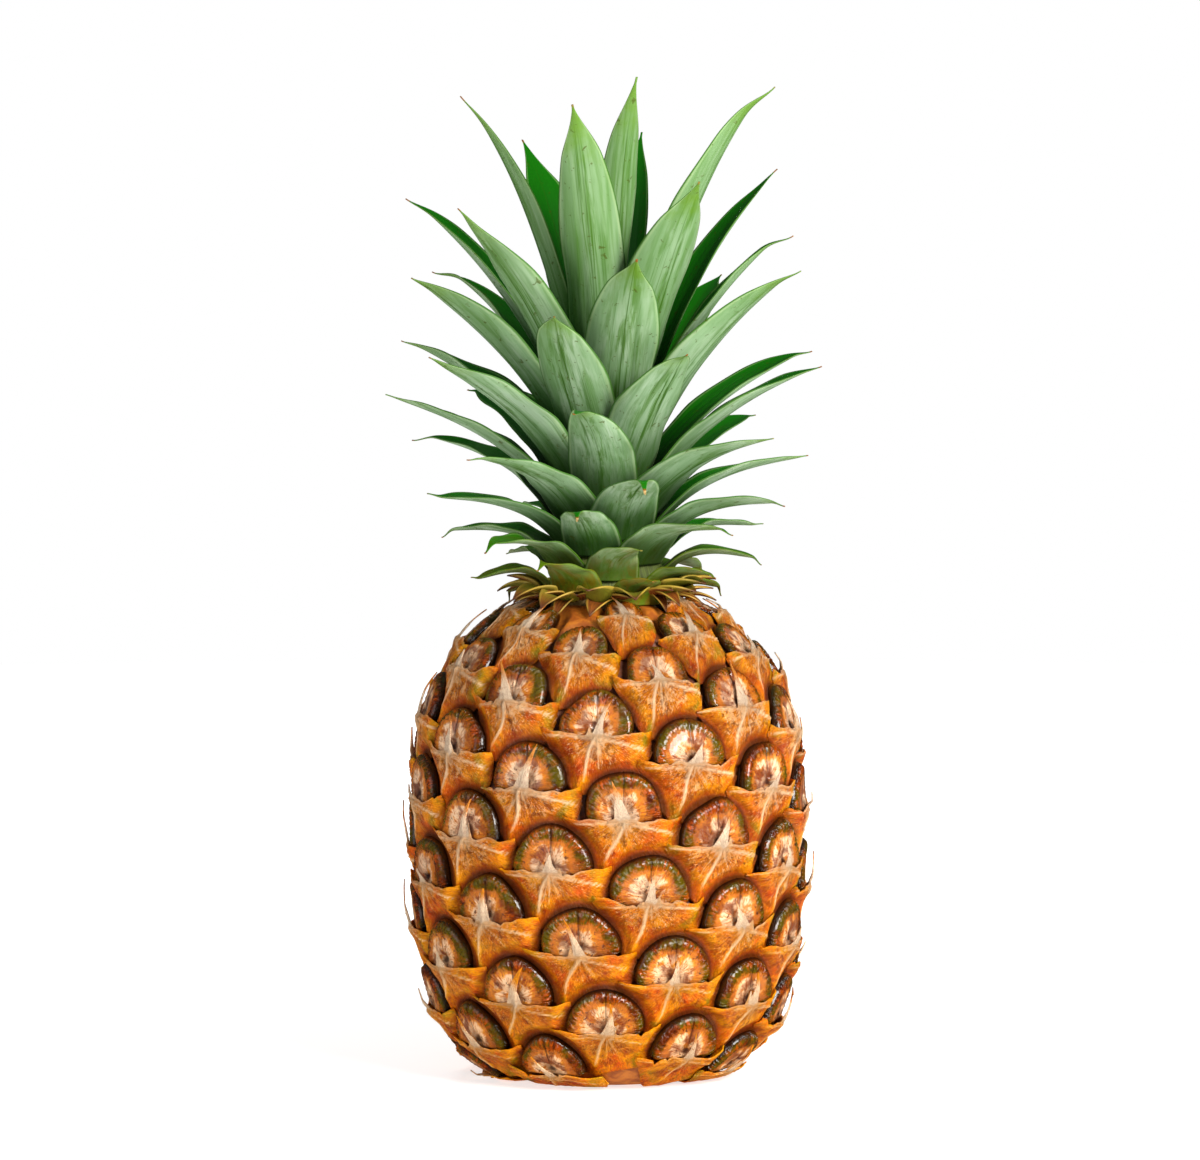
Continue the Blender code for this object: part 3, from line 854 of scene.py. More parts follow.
def bract_material(rind):
    """Papery orange bracts with bleached ridges and spikes."""
    material, wires, shader = new_material("papery_bract")
    side, up, spike = wires.split(wires.attribute("bract"))
    ridge, edge, tone = wires.split(wires.attribute("bract_marks"))
    place = wires.place()
    seed = wires.times(tone, 53.0)
    # Polar coordinates round the root of the spike, in mm.
    over_root = wires.plus(up, SPIKE_ROOT / MM)
    reach = wires.size(wires.combine(side, over_root, 0.0))
    turn = wires.maths("ARCTAN2", side, over_root)
    fibres = wires.fibres(reach, turn, seed, 16.0, 0.02)
    fine = wires.fibres(reach, turn, wires.plus(seed, 8.0), 40.0, 0.02)
    flat = wires.combine(wires.times(side, 0.1), wires.times(up, 0.1), seed)

    def stains(offset, scale, cover, softness=0.12):
        return wires.blotches(flat, wires.plus(seed, offset), scale, cover, softness)

    # Bracts are dry high on the fruit and ripe below.
    level = wires.split(place)[2]
    high = wires.between(level, 0.03, 0.145)
    body = wires.mix(stains(0.0, 1.3, 0.50, 0.14), tuple(rind.bract_orange), tuple(rind.bract_yellow))
    body = wires.mix(wires.times(stains(11.0, 1.7, 0.42), 0.8), body, srgb(168, 56, 2))
    body = wires.mix(wires.times(stains(17.0, 2.6, 0.30), 0.7), body, tuple(rind.russet))
    far = wires.between(reach, 8.0, 15.0)
    right = wires.between(side, 3.0, 13.0)
    ripe = wires.times(stains(23.0, 1.2, 0.55), far, wires.between(right, 0.0, 1.0, 0.35, 1.0))
    body = wires.mix(ripe, body, tuple(rind.bract_yellow))
    body = wires.mix(wires.times(stains(5.0, 1.3, 0.34), far, 0.9), body, tuple(rind.bract_green))
    body = wires.mix(wires.times(wires.between(fine, 0.75, 0.1), 0.30), body, srgb(132, 48, 2))
    body = wires.deepened(body, 1.20, 1.40, 1.16)
    # The dry middle, ragged at its edge, with cracks.
    ragged = wires.plus(reach, wires.times(wires.noise(flat, 5.0, 4.0, 0.65), 15.0))
    ragged = wires.minus(ragged, wires.times(high, 2.5))
    ragged = wires.plus(ragged, wires.times(wires.minus(tone, 0.5), 5.0))
    paper = wires.between(ragged, 17.6, 12.6)
    papery = wires.mix(wires.between(fibres, 0.1, 0.8), srgb(172, 84, 20), tuple(rind.bract_paper))
    papery = wires.mix(wires.times(stains(29.0, 3.0, 0.45, 0.08), 0.85), papery, srgb(242, 196, 152))
    papery = wires.mix(wires.times(stains(37.0, 3.4, 0.34, 0.06), 0.7), papery, srgb(84, 30, 8))
    colour = wires.mix(wires.times(paper, wires.between(level, 0.0, 0.14, 0.50, 0.90)), body, papery)
    pulled = wires.times(wires.between(fine, 0.68, 0.95), wires.between(reach, 19.0, 6.0, 0.25, 0.65))
    colour = wires.mix(pulled, colour, tuple(rind.bract_cream))
    cracks = wires.fibres(reach, turn, wires.plus(seed, 3.0), 22.0, 0.05)
    cracked = wires.times(wires.between(cracks, 0.24, 0.04), wires.between(ragged, 19.0, 13.0))
    colour = wires.mix(wires.times(cracked, 0.85), colour, srgb(84, 30, 8))
    ridged = wires.times(ridge, wires.between(fine, 0.0, 0.5, 0.6, 1.0))
    pale = wires.maths("MAXIMUM", ridged, wires.times(edge, 0.8))
    colour = wires.mix(wires.times(pale, 0.95), colour, tuple(rind.bract_cream))
    # Spikes are bleached along the middle and tan at the sides.
    spiky = wires.between(spike, 0.02, 0.12)
    dried = wires.mix(wires.between(spike, 0.5, 1.0), srgb(255, 232, 206), srgb(224, 162, 114))
    dried = wires.mix(wires.times(wires.between(fine, 0.5, 0.05), 0.7), dried, srgb(178, 98, 48))
    colour = wires.mix(spiky, colour, dried)
    # Painted shade: bracts darken to red-brown where they sink round the eyes below.
    room, in_body = wires.split(wires.attribute("bract_room"))[:2]
    wander = wires.times(wires.minus(wires.noise(flat, 4.0, 3.0), 0.5), 2.6)
    uneven = wires.plus(room, wander)
    painted_groove_shade = wires.times(wires.between(uneven, 3.4, 0.3), wires.between(in_body, 0.97, 0.75))
    shade = wires.mix(wires.between(room, 1.5, -0.2), srgb(150, 58, 0), tuple(rind.groove))
    colour = wires.mix(wires.times(painted_groove_shade, 0.92), colour, shade)
    # Painted light: bracts are painted lighter low on the fruit, as if lit by the floor, and darker by the
    # crown, and are riper in tint below.
    ripeness = wires.between(level, 0.0, 0.1, 1.42, 1.18)
    painted_light_by_height = wires.between(level, 0.09, 0.15, 1.04, 0.86)
    wires.put(shader.inputs["Base Color"], wires.deepened(colour, 1.06, ripeness, painted_light_by_height))
    dryness = wires.maths("MAXIMUM", paper, spiky)
    wires.put(shader.inputs["Roughness"], wires.between(dryness, 0.0, 1.0, 0.34, 0.65))
    shader.inputs["Specular IOR Level"].default_value = 0.2
    grain = wires.noise(place, 1400.0, 2.0)
    height = wires.plus(wires.times(fibres, 0.7), wires.times(fine, 0.3))
    height = wires.plus(height, wires.times(grain, 0.15))
    height = wires.plus(height, wires.times(cracked, -0.6))
    bump(wires, shader, height, 0.9, 0.5 * MM)
    return material


def along_line(across, up, start, end):
    """(distance from the line, share of the way along it) for points in an eye's plane."""
    start, end = np.array(start), np.array(end)
    reach = end - start
    size = np.hypot(*reach)
    share = ((across - start[0]) * reach[0] + (up - start[1]) * reach[1]) / size**2
    off = ((across - start[0]) * reach[1] - (up - start[1]) * reach[0]) / size
    return off, share


def bract_edge(across, half, chance):
    """How high a bract's free edge lies: dipping to the middle, wavy and notched."""
    far = np.abs(across) / half
    waves = 0.0
    for length, size in ((3.4, 0.80), (1.6, 0.50), (0.7, 0.20)):
        size = chance.uniform(-1, 1) * size * MM
        waves = waves + size * np.sin(across / (length * MM) + chance.uniform(0, 6))
    left_corner, right_corner = chance.uniform(-1.2, 1.8, 2) * MM
    corner = np.where(across < 0, left_corner, right_corner) * far**2
    edge = BRACT_EDGE + 1.0 * MM * far**1.6 + corner + waves * smooth_step(0.08, 0.3, far)
    for _ in range(3):
        notch = chance.uniform(-0.95, 0.95) * half
        deep = chance.uniform(0.0, 1.3) * MM
        edge = edge - deep * np.exp(-(((across - notch) / (0.6 * MM)) ** 2))
    return edge


def ridge_line(off, width):
    """A soft line of this width, from the distances off its middle."""
    return np.exp(-((off / width) ** 2))


def bract_ridges(across, up, root, chance):
    """(height in mm, how bleached) of the ridges that run from the root of the spike over the bract."""
    right_end = (16.0 * MM, chance.uniform(-12.5, -9.5) * MM)
    left_end = (-15.5 * MM, chance.uniform(-8.6, -7.0) * MM)
    to_tip, tip_share = along_line(across, up, (root, -SPIKE_ROOT), (-6.0 * MM, -23.0 * MM))
    to_right, right_share = along_line(across, up, (root, -SPIKE_ROOT - 0.6 * MM), right_end)
    to_left, left_share = along_line(across, up, (root, -SPIKE_ROOT - 0.6 * MM), left_end)
    bend = 0.8 * MM * np.sin(tip_share * 5 + chance.uniform(0, 6))
    ridge = ridge_line(to_tip + bend, 0.62 * MM) * smooth_step(-0.15, 0.05, tip_share)
    ridge = ridge * smooth_step(1.1, 0.5, tip_share)
    right = ridge_line(to_right, 0.55 * MM) * smooth_step(-0.05, 0.08, right_share)
    left = ridge_line(to_left, 0.50 * MM) * smooth_step(-0.05, 0.08, left_share)
    folds = np.zeros_like(across)
    for _ in range(4):
        end = (chance.uniform(-11, 13) * MM, chance.uniform(-22, -14) * MM)
        off, way = along_line(across, up, (root, -SPIKE_ROOT - 0.2 * MM), end)
        line = ridge_line(off, 0.32 * MM) * smooth_step(0.02, 0.2, way) * smooth_step(1.0, 0.5, way)
        folds = np.maximum(folds, line * chance.uniform(0.3, 1.0))
    pleats = np.cos(to_right * 2 * math.pi / (1.35 * MM)) * smooth_step(0.35, 0.8, right_share)
    pleats = pleats * ridge_line(to_right, 3.0 * MM)
    # Fine wrinkles fan out round the root.
    fan = np.arctan2(across - root, -(up + SPIKE_ROOT))
    away = np.hypot(across - root, up + SPIKE_ROOT)
    near_root = smooth_step(0, 3 * MM, away) * smooth_step(12 * MM, 5 * MM, away)
    wrinkle = np.cos(15 * fan + chance.uniform(0, 6)) * near_root
    flare = 0.9 * smooth_step(5.0 * MM, 1.0 * MM, away) * (0.6 + 0.4 * np.cos(11 * fan + root / MM))
    height = 0.55 * ridge + 0.45 * right + 0.30 * left + 0.35 * folds + 0.20 * pleats + 0.16 * wrinkle
    bleached = np.maximum.reduce([ridge, 0.85 * right, 0.75 * left, 0.7 * folds, flare])
    return height, bleached + 0.35 * np.clip(pleats, 0, 1)


def bract_shape(rind, pattern, eye, chance):
    """Places and marks of one bract: a kite-shaped sheet with a spike, laid from a flat grid."""
    u, v = pattern[:, 0], (pattern[:, 1] + 1) / 2
    half = BRACT_HALF_WIDTH * chance.uniform(0.95, 1.03)
    across = half * (0.42 * u + 0.58 * u**3)
    far = np.abs(across) / half
    top = bract_edge(across, half, chance)
    low = read_curve(BRACT_MARGIN, across * BRACT_HALF_WIDTH / half)
    low = np.minimum(low, top - 0.8 * MM)
    # The spike is drawn up from the edge. One in five is torn short, and a thin strand stands beside it.
    torn = chance.uniform() < 0.22
    length = rind.spike_length * (chance.uniform(0.3, 0.5) if torn else chance.uniform(0.72, 1.25))
    base = chance.uniform(1.7, 2.7) * MM
    lean = chance.uniform(-0.35, 0.35)
    curl = chance.uniform(-0.25, 0.25) * length
    stand = chance.uniform(0.0, 1.0) ** 2 * 3.5 * MM
    root = chance.uniform(-0.8, 0.8) * MM
    from_root = np.abs(across - root)
    near = np.clip(1 - from_root / base, 0, 1)
    flare = 0.22 * MM + 1.6 * MM * np.clip(1 - from_root / (2.4 * base), 0, 1) ** 2
    rise = flare + length * near ** chance.uniform(1.3, 1.9)
    strand = root + chance.choice([-1.0, 1.0]) * chance.uniform(1.6, 3.2) * MM
    strand_length = length * chance.uniform(0.0, 0.55)
    rise = rise + strand_length * np.clip(1 - np.abs(across - strand) / (1.1 * MM), 0, 1) ** 1.6
    in_body = np.clip(v / BODY_SHARE, 0, 1)
    over = np.clip((v - BODY_SHARE) / (1 - BODY_SHARE), 0, 1)
    climbed = rise * over
    up = low + (top - low) * in_body + climbed
    spike = climbed / rind.spike_length * smooth_step(0.0, 0.06, near)
    height_share = climbed / length

    # The body swells over the skin, and sinks into the groove round each eye below.
    azimuth, depth = from_eye(eye, across, up)
    room = room_to_eyes(rind, azimuth, depth, skip=eye)
    body = rind.bract_swell * (0.75 + 0.5 * smooth_step(-17 * MM, -9 * MM, up))
    lift = -rind.groove_depth + (body + rind.groove_depth) * smooth_step(-0.6 * MM, 4.2 * MM, room)
    uneven = 1 + chance.uniform(-0.7, 0.7) * np.sin(across / (5 * MM) + chance.uniform(0, 6))
    edge_lift = rind.bract_lift * smooth_step(0.66, 1.0, in_body) * (1 - 0.8 * far**1.5) * uneven
    lift = np.maximum(lift, 0.4 * MM * smooth_step(0.6, 0.95, in_body)) + edge_lift
    ridges, bleached = bract_ridges(across, up, root, chance)
    on_body = 1 - smooth_step(0.0, 0.12, over)
    lift = lift + ridges * MM * on_body
    fold = chance.uniform(-0.6, 0.6) * MM * np.sin(across / (4 * MM) + chance.uniform(0, 6))
    lift = lift + 0.6 * fold * smooth_step(0.2, 0.7, in_body)
    # The spike lies over the eye, or stands up from it, and is thicker along its middle.
    lift = lift + height_share * 1.3 * MM + stand * height_share**1.6
    rolled = np.clip(1 - 4 * (from_root / base) ** 2, 0, 1)
    lift = lift + 0.35 * MM * rolled * smooth_step(0, 0.2, over)
    lift = np.minimum(lift, MOST_LIFT)
    across = across + lean * climbed * near**0.2 + curl * height_share**2.4
    azimuth, depth = from_eye(eye, across, up)
    free_edge = smooth_step(0.8 * MM, 0.15 * MM, top - up) * (0.9 - 0.7 * far)
    under = smooth_step(1.4 * MM, -0.4 * MM, room) * (1 - smooth_step(0.8, 1.0, in_body))
    tone = chance.uniform(0, 1)
    return (
        SKIN.place(azimuth, depth, lift * EYE_HEIGHTS[eye]),
        (across / MM, up / MM, spike),
        (room / MM, in_body, over),
        (np.clip(bleached, 0, 1) * on_body, free_edge - under, tone),
    )


def bracts(rind):
    """The papery bract under each eye, laid from a grid and given its thickness, in four bands."""
    grid = bpy.ops.mesh.primitive_grid_add
    pattern = added("bract_pattern", grid, x_subdivisions=56, y_subdivisions=30, size=2.0)
    points = read_places(pattern)
    material = bract_material(rind)
    made = []
    for eye in EYES:
        chance = np.random.default_rng(BRACT_SEED * 1000 + int(eye))
        piece = copied(pattern, f"bract_{eye + 1:02d}")
        places, shape, room, marks = bract_shape(rind, points, eye, chance)
        write_places(piece, places)
        mark(piece, "bract", *shape)
        mark(piece, "bract_room", *room)
        mark(piece, "bract_marks", *marks)
        made.append(piece)
    removed(pattern)
    names = ("bracts_top", "bracts_upper", "bracts_lower", "bracts_foot")
    for name, members in zip(names, np.array_split(np.arange(len(EYES)), len(names))):
        band = joined(name, [made[i] for i in members])
        with_modifier(band, "SOLIDIFY", thickness=rind.bract_thickness, offset=-1.0)
        finished(band, [material], ["fruit_body"])


# --- The crown -----------------------------------------------------------------------------------------


def stem_radius(height):
    """The stem's radius at a height above the crown's seat."""
    share = np.clip(height / STEM_HEIGHT, 0, 1)
    return STEM_TOP_RADIUS + (STEM_FOOT_RADIUS - STEM_TOP_RADIUS) * (1 - share) ** STEM_TAPER


def leaf_line(number, chance):
    """The leaf's middle line: (radius, height above the seat, steepness) at shares of its length."""
    share = number / (LEAF_COUNT - 1)
    foot_height = read_curve(LEAF_FOOT_HEIGHT, share)
    foot = np.array([stem_radius(foot_height) + LEAF_GAP, foot_height])
    tip = np.array([read_curve(LEAF_TIP_RADIUS, share), read_curve(LEAF_TIP_HEIGHT, share)])
    astray = np.array([chance.uniform(-3.5, 3.5), chance.uniform(-3.0, 3.0)]) * MM
    tip = tip + astray * min(1.0, 0.3 + share)
    tip = tip + np.array(LEAF_LEANS.get(number, NO_LEAN)[1:3])
    chord = tip - foot
    length = np.hypot(*chord)
    steeper = math.radians(read_curve(LEAF_STEEPER_AT_FOOT, share))
    ahead = chord / length
    side = np.array([-ahead[1], ahead[0]])
    first = foot + length * 0.38 * (ahead * math.cos(steeper) + side * math.sin(steeper))
    second = foot + length * (0.72 * ahead + 0.10 * side)

    def at(s):
        s = np.asarray(s, float)[..., None]
        a, b, c, d = foot, first, second, tip
        place = a * (1 - s) ** 3 + 3 * b * s * (1 - s) ** 2 + 3 * c * s**2 * (1 - s) + d * s**3
        slope = 3 * (b - a) * (1 - s) ** 2 + 6 * (c - b) * s * (1 - s) + 3 * (d - c) * s**2
        return place[..., 0], place[..., 1], np.arctan2(slope[..., 1], slope[..., 0])

    return at, share


def leaf_places(number, along, across, chance):
    """Points of a leaf. along runs 0 to 1 from foot to tip, across -1 to 1 from edge to edge."""
    line, share = leaf_line(number, chance)
    left = TRIMMED_LEAVES.get(number, 1.0)
    trimmed = left < 1.0
    reach = along * left
    radius, height, steepness = line(reach)
    lean, _, _, breadth = LEAF_LEANS.get(number, NO_LEAN)
    widest = read_curve(LEAF_HALF_WIDTH, share) * chance.uniform(0.94, 1.06) * breadth
    # The lower leaves draw in from further down.
    low = smooth_step(0.62, 0.42, share)
    to_tip = np.clip((1 - reach) / (LEAF_TAPER_SHARE + 0.30 * low), 0, 1)
    half_width = widest * (1 - (1 - to_tip) ** (LEAF_TAPER_POWER - 0.35 * low))
    # The last stretch draws in to a fine hooked point.
    half_width = half_width * (1 - 0.45 * smooth_step(0.80, 1.0, reach))
    half_width = np.maximum(np.minimum(half_width, radius * LEAF_WRAP * breadth), LEAF_TIP_HALF_WIDTH)
    twist = chance.uniform(-0.35, 0.35) * reach**2
    sway = math.radians(chance.uniform(-5, 5) + lean) * reach**2
    offset = half_width * across
    channel = LEAF_CHANNEL * half_width * across**2 * np.clip((reach - 0.12) / 0.3, 0, 1)
    turn = offset * np.cos(twist) / radius + sway
    inward = channel + offset * np.sin(twist)
    # A crease along the middle and a soft wave in the margins.
    breadth_left = np.clip(half_width / widest, 0, 1)
    wave_height = chance.uniform(0.2, 0.7) * MM
    phase = reach * chance.uniform(14, 22) + across * 1.5
    wave = wave_height * np.sin(phase + chance.uniform(0, 6)) * np.abs(across) ** 3
    inward = inward + wave * smooth_step(0.15, 0.4, reach) * breadth_left
    inward = inward - 0.30 * MM * np.exp(-((across / 0.07) ** 2)) * breadth_left**2
    inward = inward + 0.12 * MM * np.cos(across * 23) * (1 - across**2) * breadth_left**2
    hook = chance.uniform(-1.2, 3.2) * MM * smooth_step(0.86, 1.0, reach) ** 1.5
    inward = inward - hook
    if trimmed:
        ragged = chance.uniform(-1.0, 1.0, LEAF_TATTERS)
        end = smooth_step(0.93, 1.0, along)
        tatter = np.interp(across, np.linspace(-1, 1, LEAF_TATTERS), ragged)
        inward = inward - end * (1.6 + 1.4 * tatter) * MM
        height = height + end * tatter * 1.0 * MM
    radius = radius - inward * np.sin(steepness)
    height = height + inward * np.cos(steepness)
    places = np.stack([radius * np.sin(turn), -radius * np.cos(turn), height], axis=-1)
    veins = across * (half_width / widest) ** 0.8
    return places, veins


def turned_by(places, angle):
    """The places turned round the upright axis."""
    sine, cosine = math.sin(angle), math.cos(angle)
    x, y, z = places.T
    return np.stack([x * cosine - y * sine, x * sine + y * cosine, z], axis=-1)


def leaf_material(crown, inner):
    """One face of the leaves: waxy grey-green outside, or glossy deep green inside."""
    material, wires, shader = new_material("leaf_inner" if inner else "leaf_outer")
    across, along, tone = wires.split(wires.attribute("leaf"))
    low, veins, dry = wires.split(wires.attribute("leaf_marks"))
    place = wires.place()
    seed = wires.times(tone, 71.0)
    # Lines fade towards the point, where they run together.
    plain = wires.between(along, 0.45, 0.75, 0.0, 0.85)
    lines = wires.flattened(wires.fibres(along, veins, seed, 22.0, 0.06), plain)
    fine = wires.fibres(along, veins, wires.plus(seed, 7.0), 46.0, 0.09)
    fine = wires.flattened(fine, plain)
    off_middle = wires.maths("ABSOLUTE", across)

    def rubs(offset, broad, long, scale, cover, softness=0.1):
        stretched = wires.combine(wires.times(veins, broad), wires.times(along, long), 0.0)
        return wires.blotches(stretched, wires.plus(seed, offset), scale, cover, softness)

    if inner:
        colour = wires.mix(wires.times(lines, 0.6), tuple(crown.inner), srgb(48, 150, 22))
        # Painted shade: the inner face darkens towards its foot.
        colour = wires.mix(wires.between(along, 0.5, 0.0), colour, srgb(14, 58, 12))
    else:
        veined = wires.times(wires.between(lines, 0.3, 1.0), 0.55)
        colour = wires.mix(veined, tuple(crown.bloom), srgb(136, 168, 130))
        # Broad soft shading, darker on one half of some leaves.
        cloud = rubs(13.0, 1.1, 1.6, 1.2, 0.45, 0.22)
        colour = wires.mix(wires.times(cloud, 0.55), colour, srgb(102, 142, 80))
        wax = rubs(19.0, 1.6, 1.8, 1.3, 0.40, 0.14)
        colour = wires.mix(wires.times(wax, 0.6), colour, srgb(196, 212, 190))
        # Bloom is rubbed away in streaks, mostly down the middle and towards the point.
        streak = wires.times(rubs(0.0, 3.6, 2.6, 1.5, 0.44, 0.09), wires.between(fine, 0.05, 0.7, 0.3, 1.0))
        central = wires.between(off_middle, 0.75, 0.0, 0.45, 1.0)
        colour = wires.mix(wires.times(streak, central, 0.8), colour, tuple(crown.rubbed))
        marked = rubs(41.0, 7.0, 1.2, 1.4, 0.30, 0.07)
        marked = wires.times(marked, wires.between(off_middle, 0.55, 0.1))
        colour = wires.mix(wires.times(marked, 0.85), colour, srgb(62, 102, 26))
        # Painted shade: the outer face darkens towards its foot, where it lies among the leaves in front.
        foot = wires.between(wires.plus(along, wires.times(lines, 0.10)), 0.66, 0.22)
        colour = wires.mix(wires.times(foot, 0.52), colour, tuple(crown.painted_foot_shade))
        deep = wires.between(along, 0.42, 0.12)
        colour = wires.mix(wires.times(deep, 0.75), colour, srgb(38, 72, 18))
        level = wires.split(place)[2]
        uneven = wires.plus(level, wires.times(wires.noise(place, 40.0, 2.0), 0.04))
        high = wires.between(uneven, 0.225, 0.315)
        colour = wires.mix(wires.times(high, 0.55), colour, srgb(98, 140, 66))
        uneven = wires.plus(along, wires.times(wires.noise(place, 260.0, 3.0), 0.2))
        near_tip = wires.between(uneven, 0.86, 1.08)
        tinted = wires.times(near_tip, wires.between(lines, 0.0, 1.0, 0.5, 1.0))
        colour = wires.mix(wires.times(tinted, 0.85), colour, srgb(112, 148, 44))
    middle = wires.between(off_middle, 0.035, 0.0)
    crease = wires.times(middle, wires.between(along, 0.97, 0.8))
    colour = wires.mix(wires.times(crease, 0.5), colour, srgb(70, 104, 44))
    # A pale line runs just inside the thin dark margin.
    pale = wires.times(wires.between(off_middle, 0.84, 0.92), wires.between(off_middle, 0.965, 0.93))
    colour = wires.mix(wires.times(pale, 0.35), colour, srgb(186, 206, 160))
    rim = wires.between(off_middle, 0.94, 0.985)
    colour = wires.mix(wires.times(rim, 0.8), colour, tuple(crown.margin))
    # The lowest leaves are olive, and every point is dry.
    olive = wires.mix(rubs(5.0, 2.0, 2.0, 1.6, 0.45), tuple(crown.olive), srgb(134, 112, 20))
    colour = wires.mix(wires.times(low, 0.8), colour, olive)
    spots = wires.blotches(place, seed, 420.0, 0.13, 0.04)
    colour = wires.mix(wires.times(spots, 0.7), colour, srgb(84, 92, 30))
    worn = wires.plus(dry, wires.times(wires.noise(place, 700.0, 2.0), 0.35))
    colour = wires.mix(wires.between(worn, 0.72, 1.0), colour, tuple(crown.tip))
    colour = wires.mix(wires.between(worn, 1.1, 1.3), colour, srgb(214, 188, 140))
    wires.put(shader.inputs["Base Color"], wires.deepened(colour, 1.16, 1.10, 1.0))
    shader.inputs["Roughness"].default_value = 0.4 if inner else 0.6
    shader.inputs["Specular IOR Level"].default_value = 0.25
    height = wires.plus(wires.times(lines, 0.7), wires.times(fine, 0.3))
    bump(wires, shader, height, 0.3, 0.2 * MM)
    return material


def crown_leaves(crown):
    """The crown's leaves, each laid from a grid and given a thickness that thins to its margins."""
    outer, inner = leaf_material(crown, False), leaf_material(crown, True)
    grid = bpy.ops.mesh.primitive_grid_add
    pattern = added("leaf_pattern", grid, x_subdivisions=22, y_subdivisions=56, size=2.0)
    points = read_places(pattern)
    across = points[:, 0]
    along = (points[:, 1] + 1) / 2
    along = 1 - (1 - along) ** 1.15
    for number in range(LEAF_COUNT):
        chance = np.random.default_rng(LEAF_SEED + number)
        piece = copied(pattern, f"crown_leaf_{number + 1:02d}")
        places, veins = leaf_places(number, along, across, chance)
        places = turned_by(places, FRONT_LEAF_AZIMUTH + LEAF_TURN * (number - FRONT_LEAF))
        places[:, 2] += CROWN_SEAT
        write_places(piece, places)
        share = number / (LEAF_COUNT - 1)
        trimmed = number in TRIMMED_LEAVES
        dry = smooth_step(0.93 if trimmed else 0.95, 1.0, along) * chance.uniform(0.6, 1.0)
        dry = np.where(trimmed, dry + smooth_step(0.97, 1.0, along), dry)
        mark(piece, "leaf", across, along, chance.uniform(0, 1))
        mark(piece, "leaf_marks", smooth_step(0.30, 0.0, share), veins, dry)
        body = (1 - 0.72 * np.abs(across) ** 2.5) * (1 - 0.6 * smooth_step(0.75, 1.0, along))
        group = piece.vertex_groups.new(name="body")
        for index, weight in enumerate(body):
            group.add([index], float(weight), "REPLACE")
        # The solid's far side takes the second material, so both are given first.
        piece.data.materials.append(outer)
        piece.data.materials.append(inner)
        with_modifier(
            piece,
            "SOLIDIFY",
            thickness=crown.leaf_thickness,
            offset=0.0,
            vertex_group="body",
            material_offset=1,
            material_offset_rim=0,
        )
        finished(piece, [outer, inner], [f"leaf_{number + 1:02d}"])
    removed(pattern)


def dry_bract_material():
    """Brown and papery, with a pale rim. Some are still green."""
    material, wires, shader = new_material("dry_bract")
    across, along, tone = wires.split(wires.attribute("leaf"))
    lines = wires.fibres(along, across, wires.times(tone, 31.0), 12.0, 0.08)
    colour = wires.mix(lines, srgb(70, 34, 6), srgb(176, 96, 28))
    fresh = wires.between(wires.plus(tone, wires.times(along, -0.4)), 0.45, 0.75)
    colour = wires.mix(wires.times(fresh, 0.85), colour, srgb(122, 128, 26))
    rim = wires.between(wires.maths("ABSOLUTE", across), 0.75, 0.98)
    colour = wires.mix(wires.times(rim, 0.7), colour, srgb(196, 164, 60))
    colour = wires.mix(wires.between(along, 0.75, 1.0), colour, srgb(96, 48, 18))
    wires.put(shader.inputs["Base Color"], colour)
    shader.inputs["Roughness"].default_value = 0.5
    bump(wires, shader, lines, 0.5, 0.3 * MM)
    return material


def foot_bract_places(number, across, along, broad, chance):
    """Points of a small leaf that grows out under the crown and curls down over the fruit."""
    length = (chance.uniform(13, 16) if broad else chance.uniform(8, 14)) * MM
    half = (chance.uniform(6.5, 8.5) if broad else chance.uniform(2.6, 4.6)) * MM
    width = half * np.clip(1 - along**2.2, 0.03, 1) * smooth_step(-0.2, 0.35, along)
    rise = math.radians(chance.uniform(34, 50) if broad else chance.uniform(0, 32))
    bend = rise - chance.uniform(0.5, 1.5) * along
    radius = chance.uniform(20, 23) * MM + length * along * np.cos((rise + bend) / 2)
    height = chance.uniform(0.4, 3.0) * MM + length * along * np.sin((rise + bend) / 2)
    cup = 0.35 * width * across**2
    # It rests on the fruit's shoulder, which falls away outside a radius of 23 mm.
    height = np.maximum(height + cup, 1.0 * MM - (radius - 23 * MM) * 0.42)
    sway = chance.uniform(-0.12, 0.12) * along
    turn = math.radians(137.5) * number + chance.uniform(-0.2, 0.2)
    turn = turn + sway + width * across / radius
    level = CROWN_SEAT + 1.5 * MM + height
    return np.stack([radius * np.sin(turn), -radius * np.cos(turn), level], axis=-1)


def foot_bracts():
    """The small dry leaves that curl round the crown's foot. Every third one is broad."""
    material = dry_bract_material()
    grid = bpy.ops.mesh.primitive_grid_add
    pattern = added("foot_pattern", grid, x_subdivisions=10, y_subdivisions=16, size=2.0)
    points = read_places(pattern)
    across, along = points[:, 0], (points[:, 1] + 1) / 2
    made = []
    for number in range(FOOT_BRACTS):
        chance = np.random.default_rng(FOOT_BRACT_SEED + number)
        broad = number % 3 == 0
        piece = copied(pattern, f"foot_bract_{number + 1:02d}")
        write_places(piece, foot_bract_places(number, across, along, broad, chance))
        tone = chance.uniform(0.75, 1.2) if broad else chance.uniform(0, 0.6)
        mark(piece, "leaf", across, along, tone)
        made.append(piece)
    removed(pattern)
    whole = joined("foot_bracts", made)
    with_modifier(whole, "SOLIDIFY", thickness=0.45 * MM, offset=0.0)
    return finished(whole, [material])


def refinished(name, material):
    """Gives a packed node this material."""
    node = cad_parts[name]
    node.data.materials.clear()
    node.data.materials.append(material)


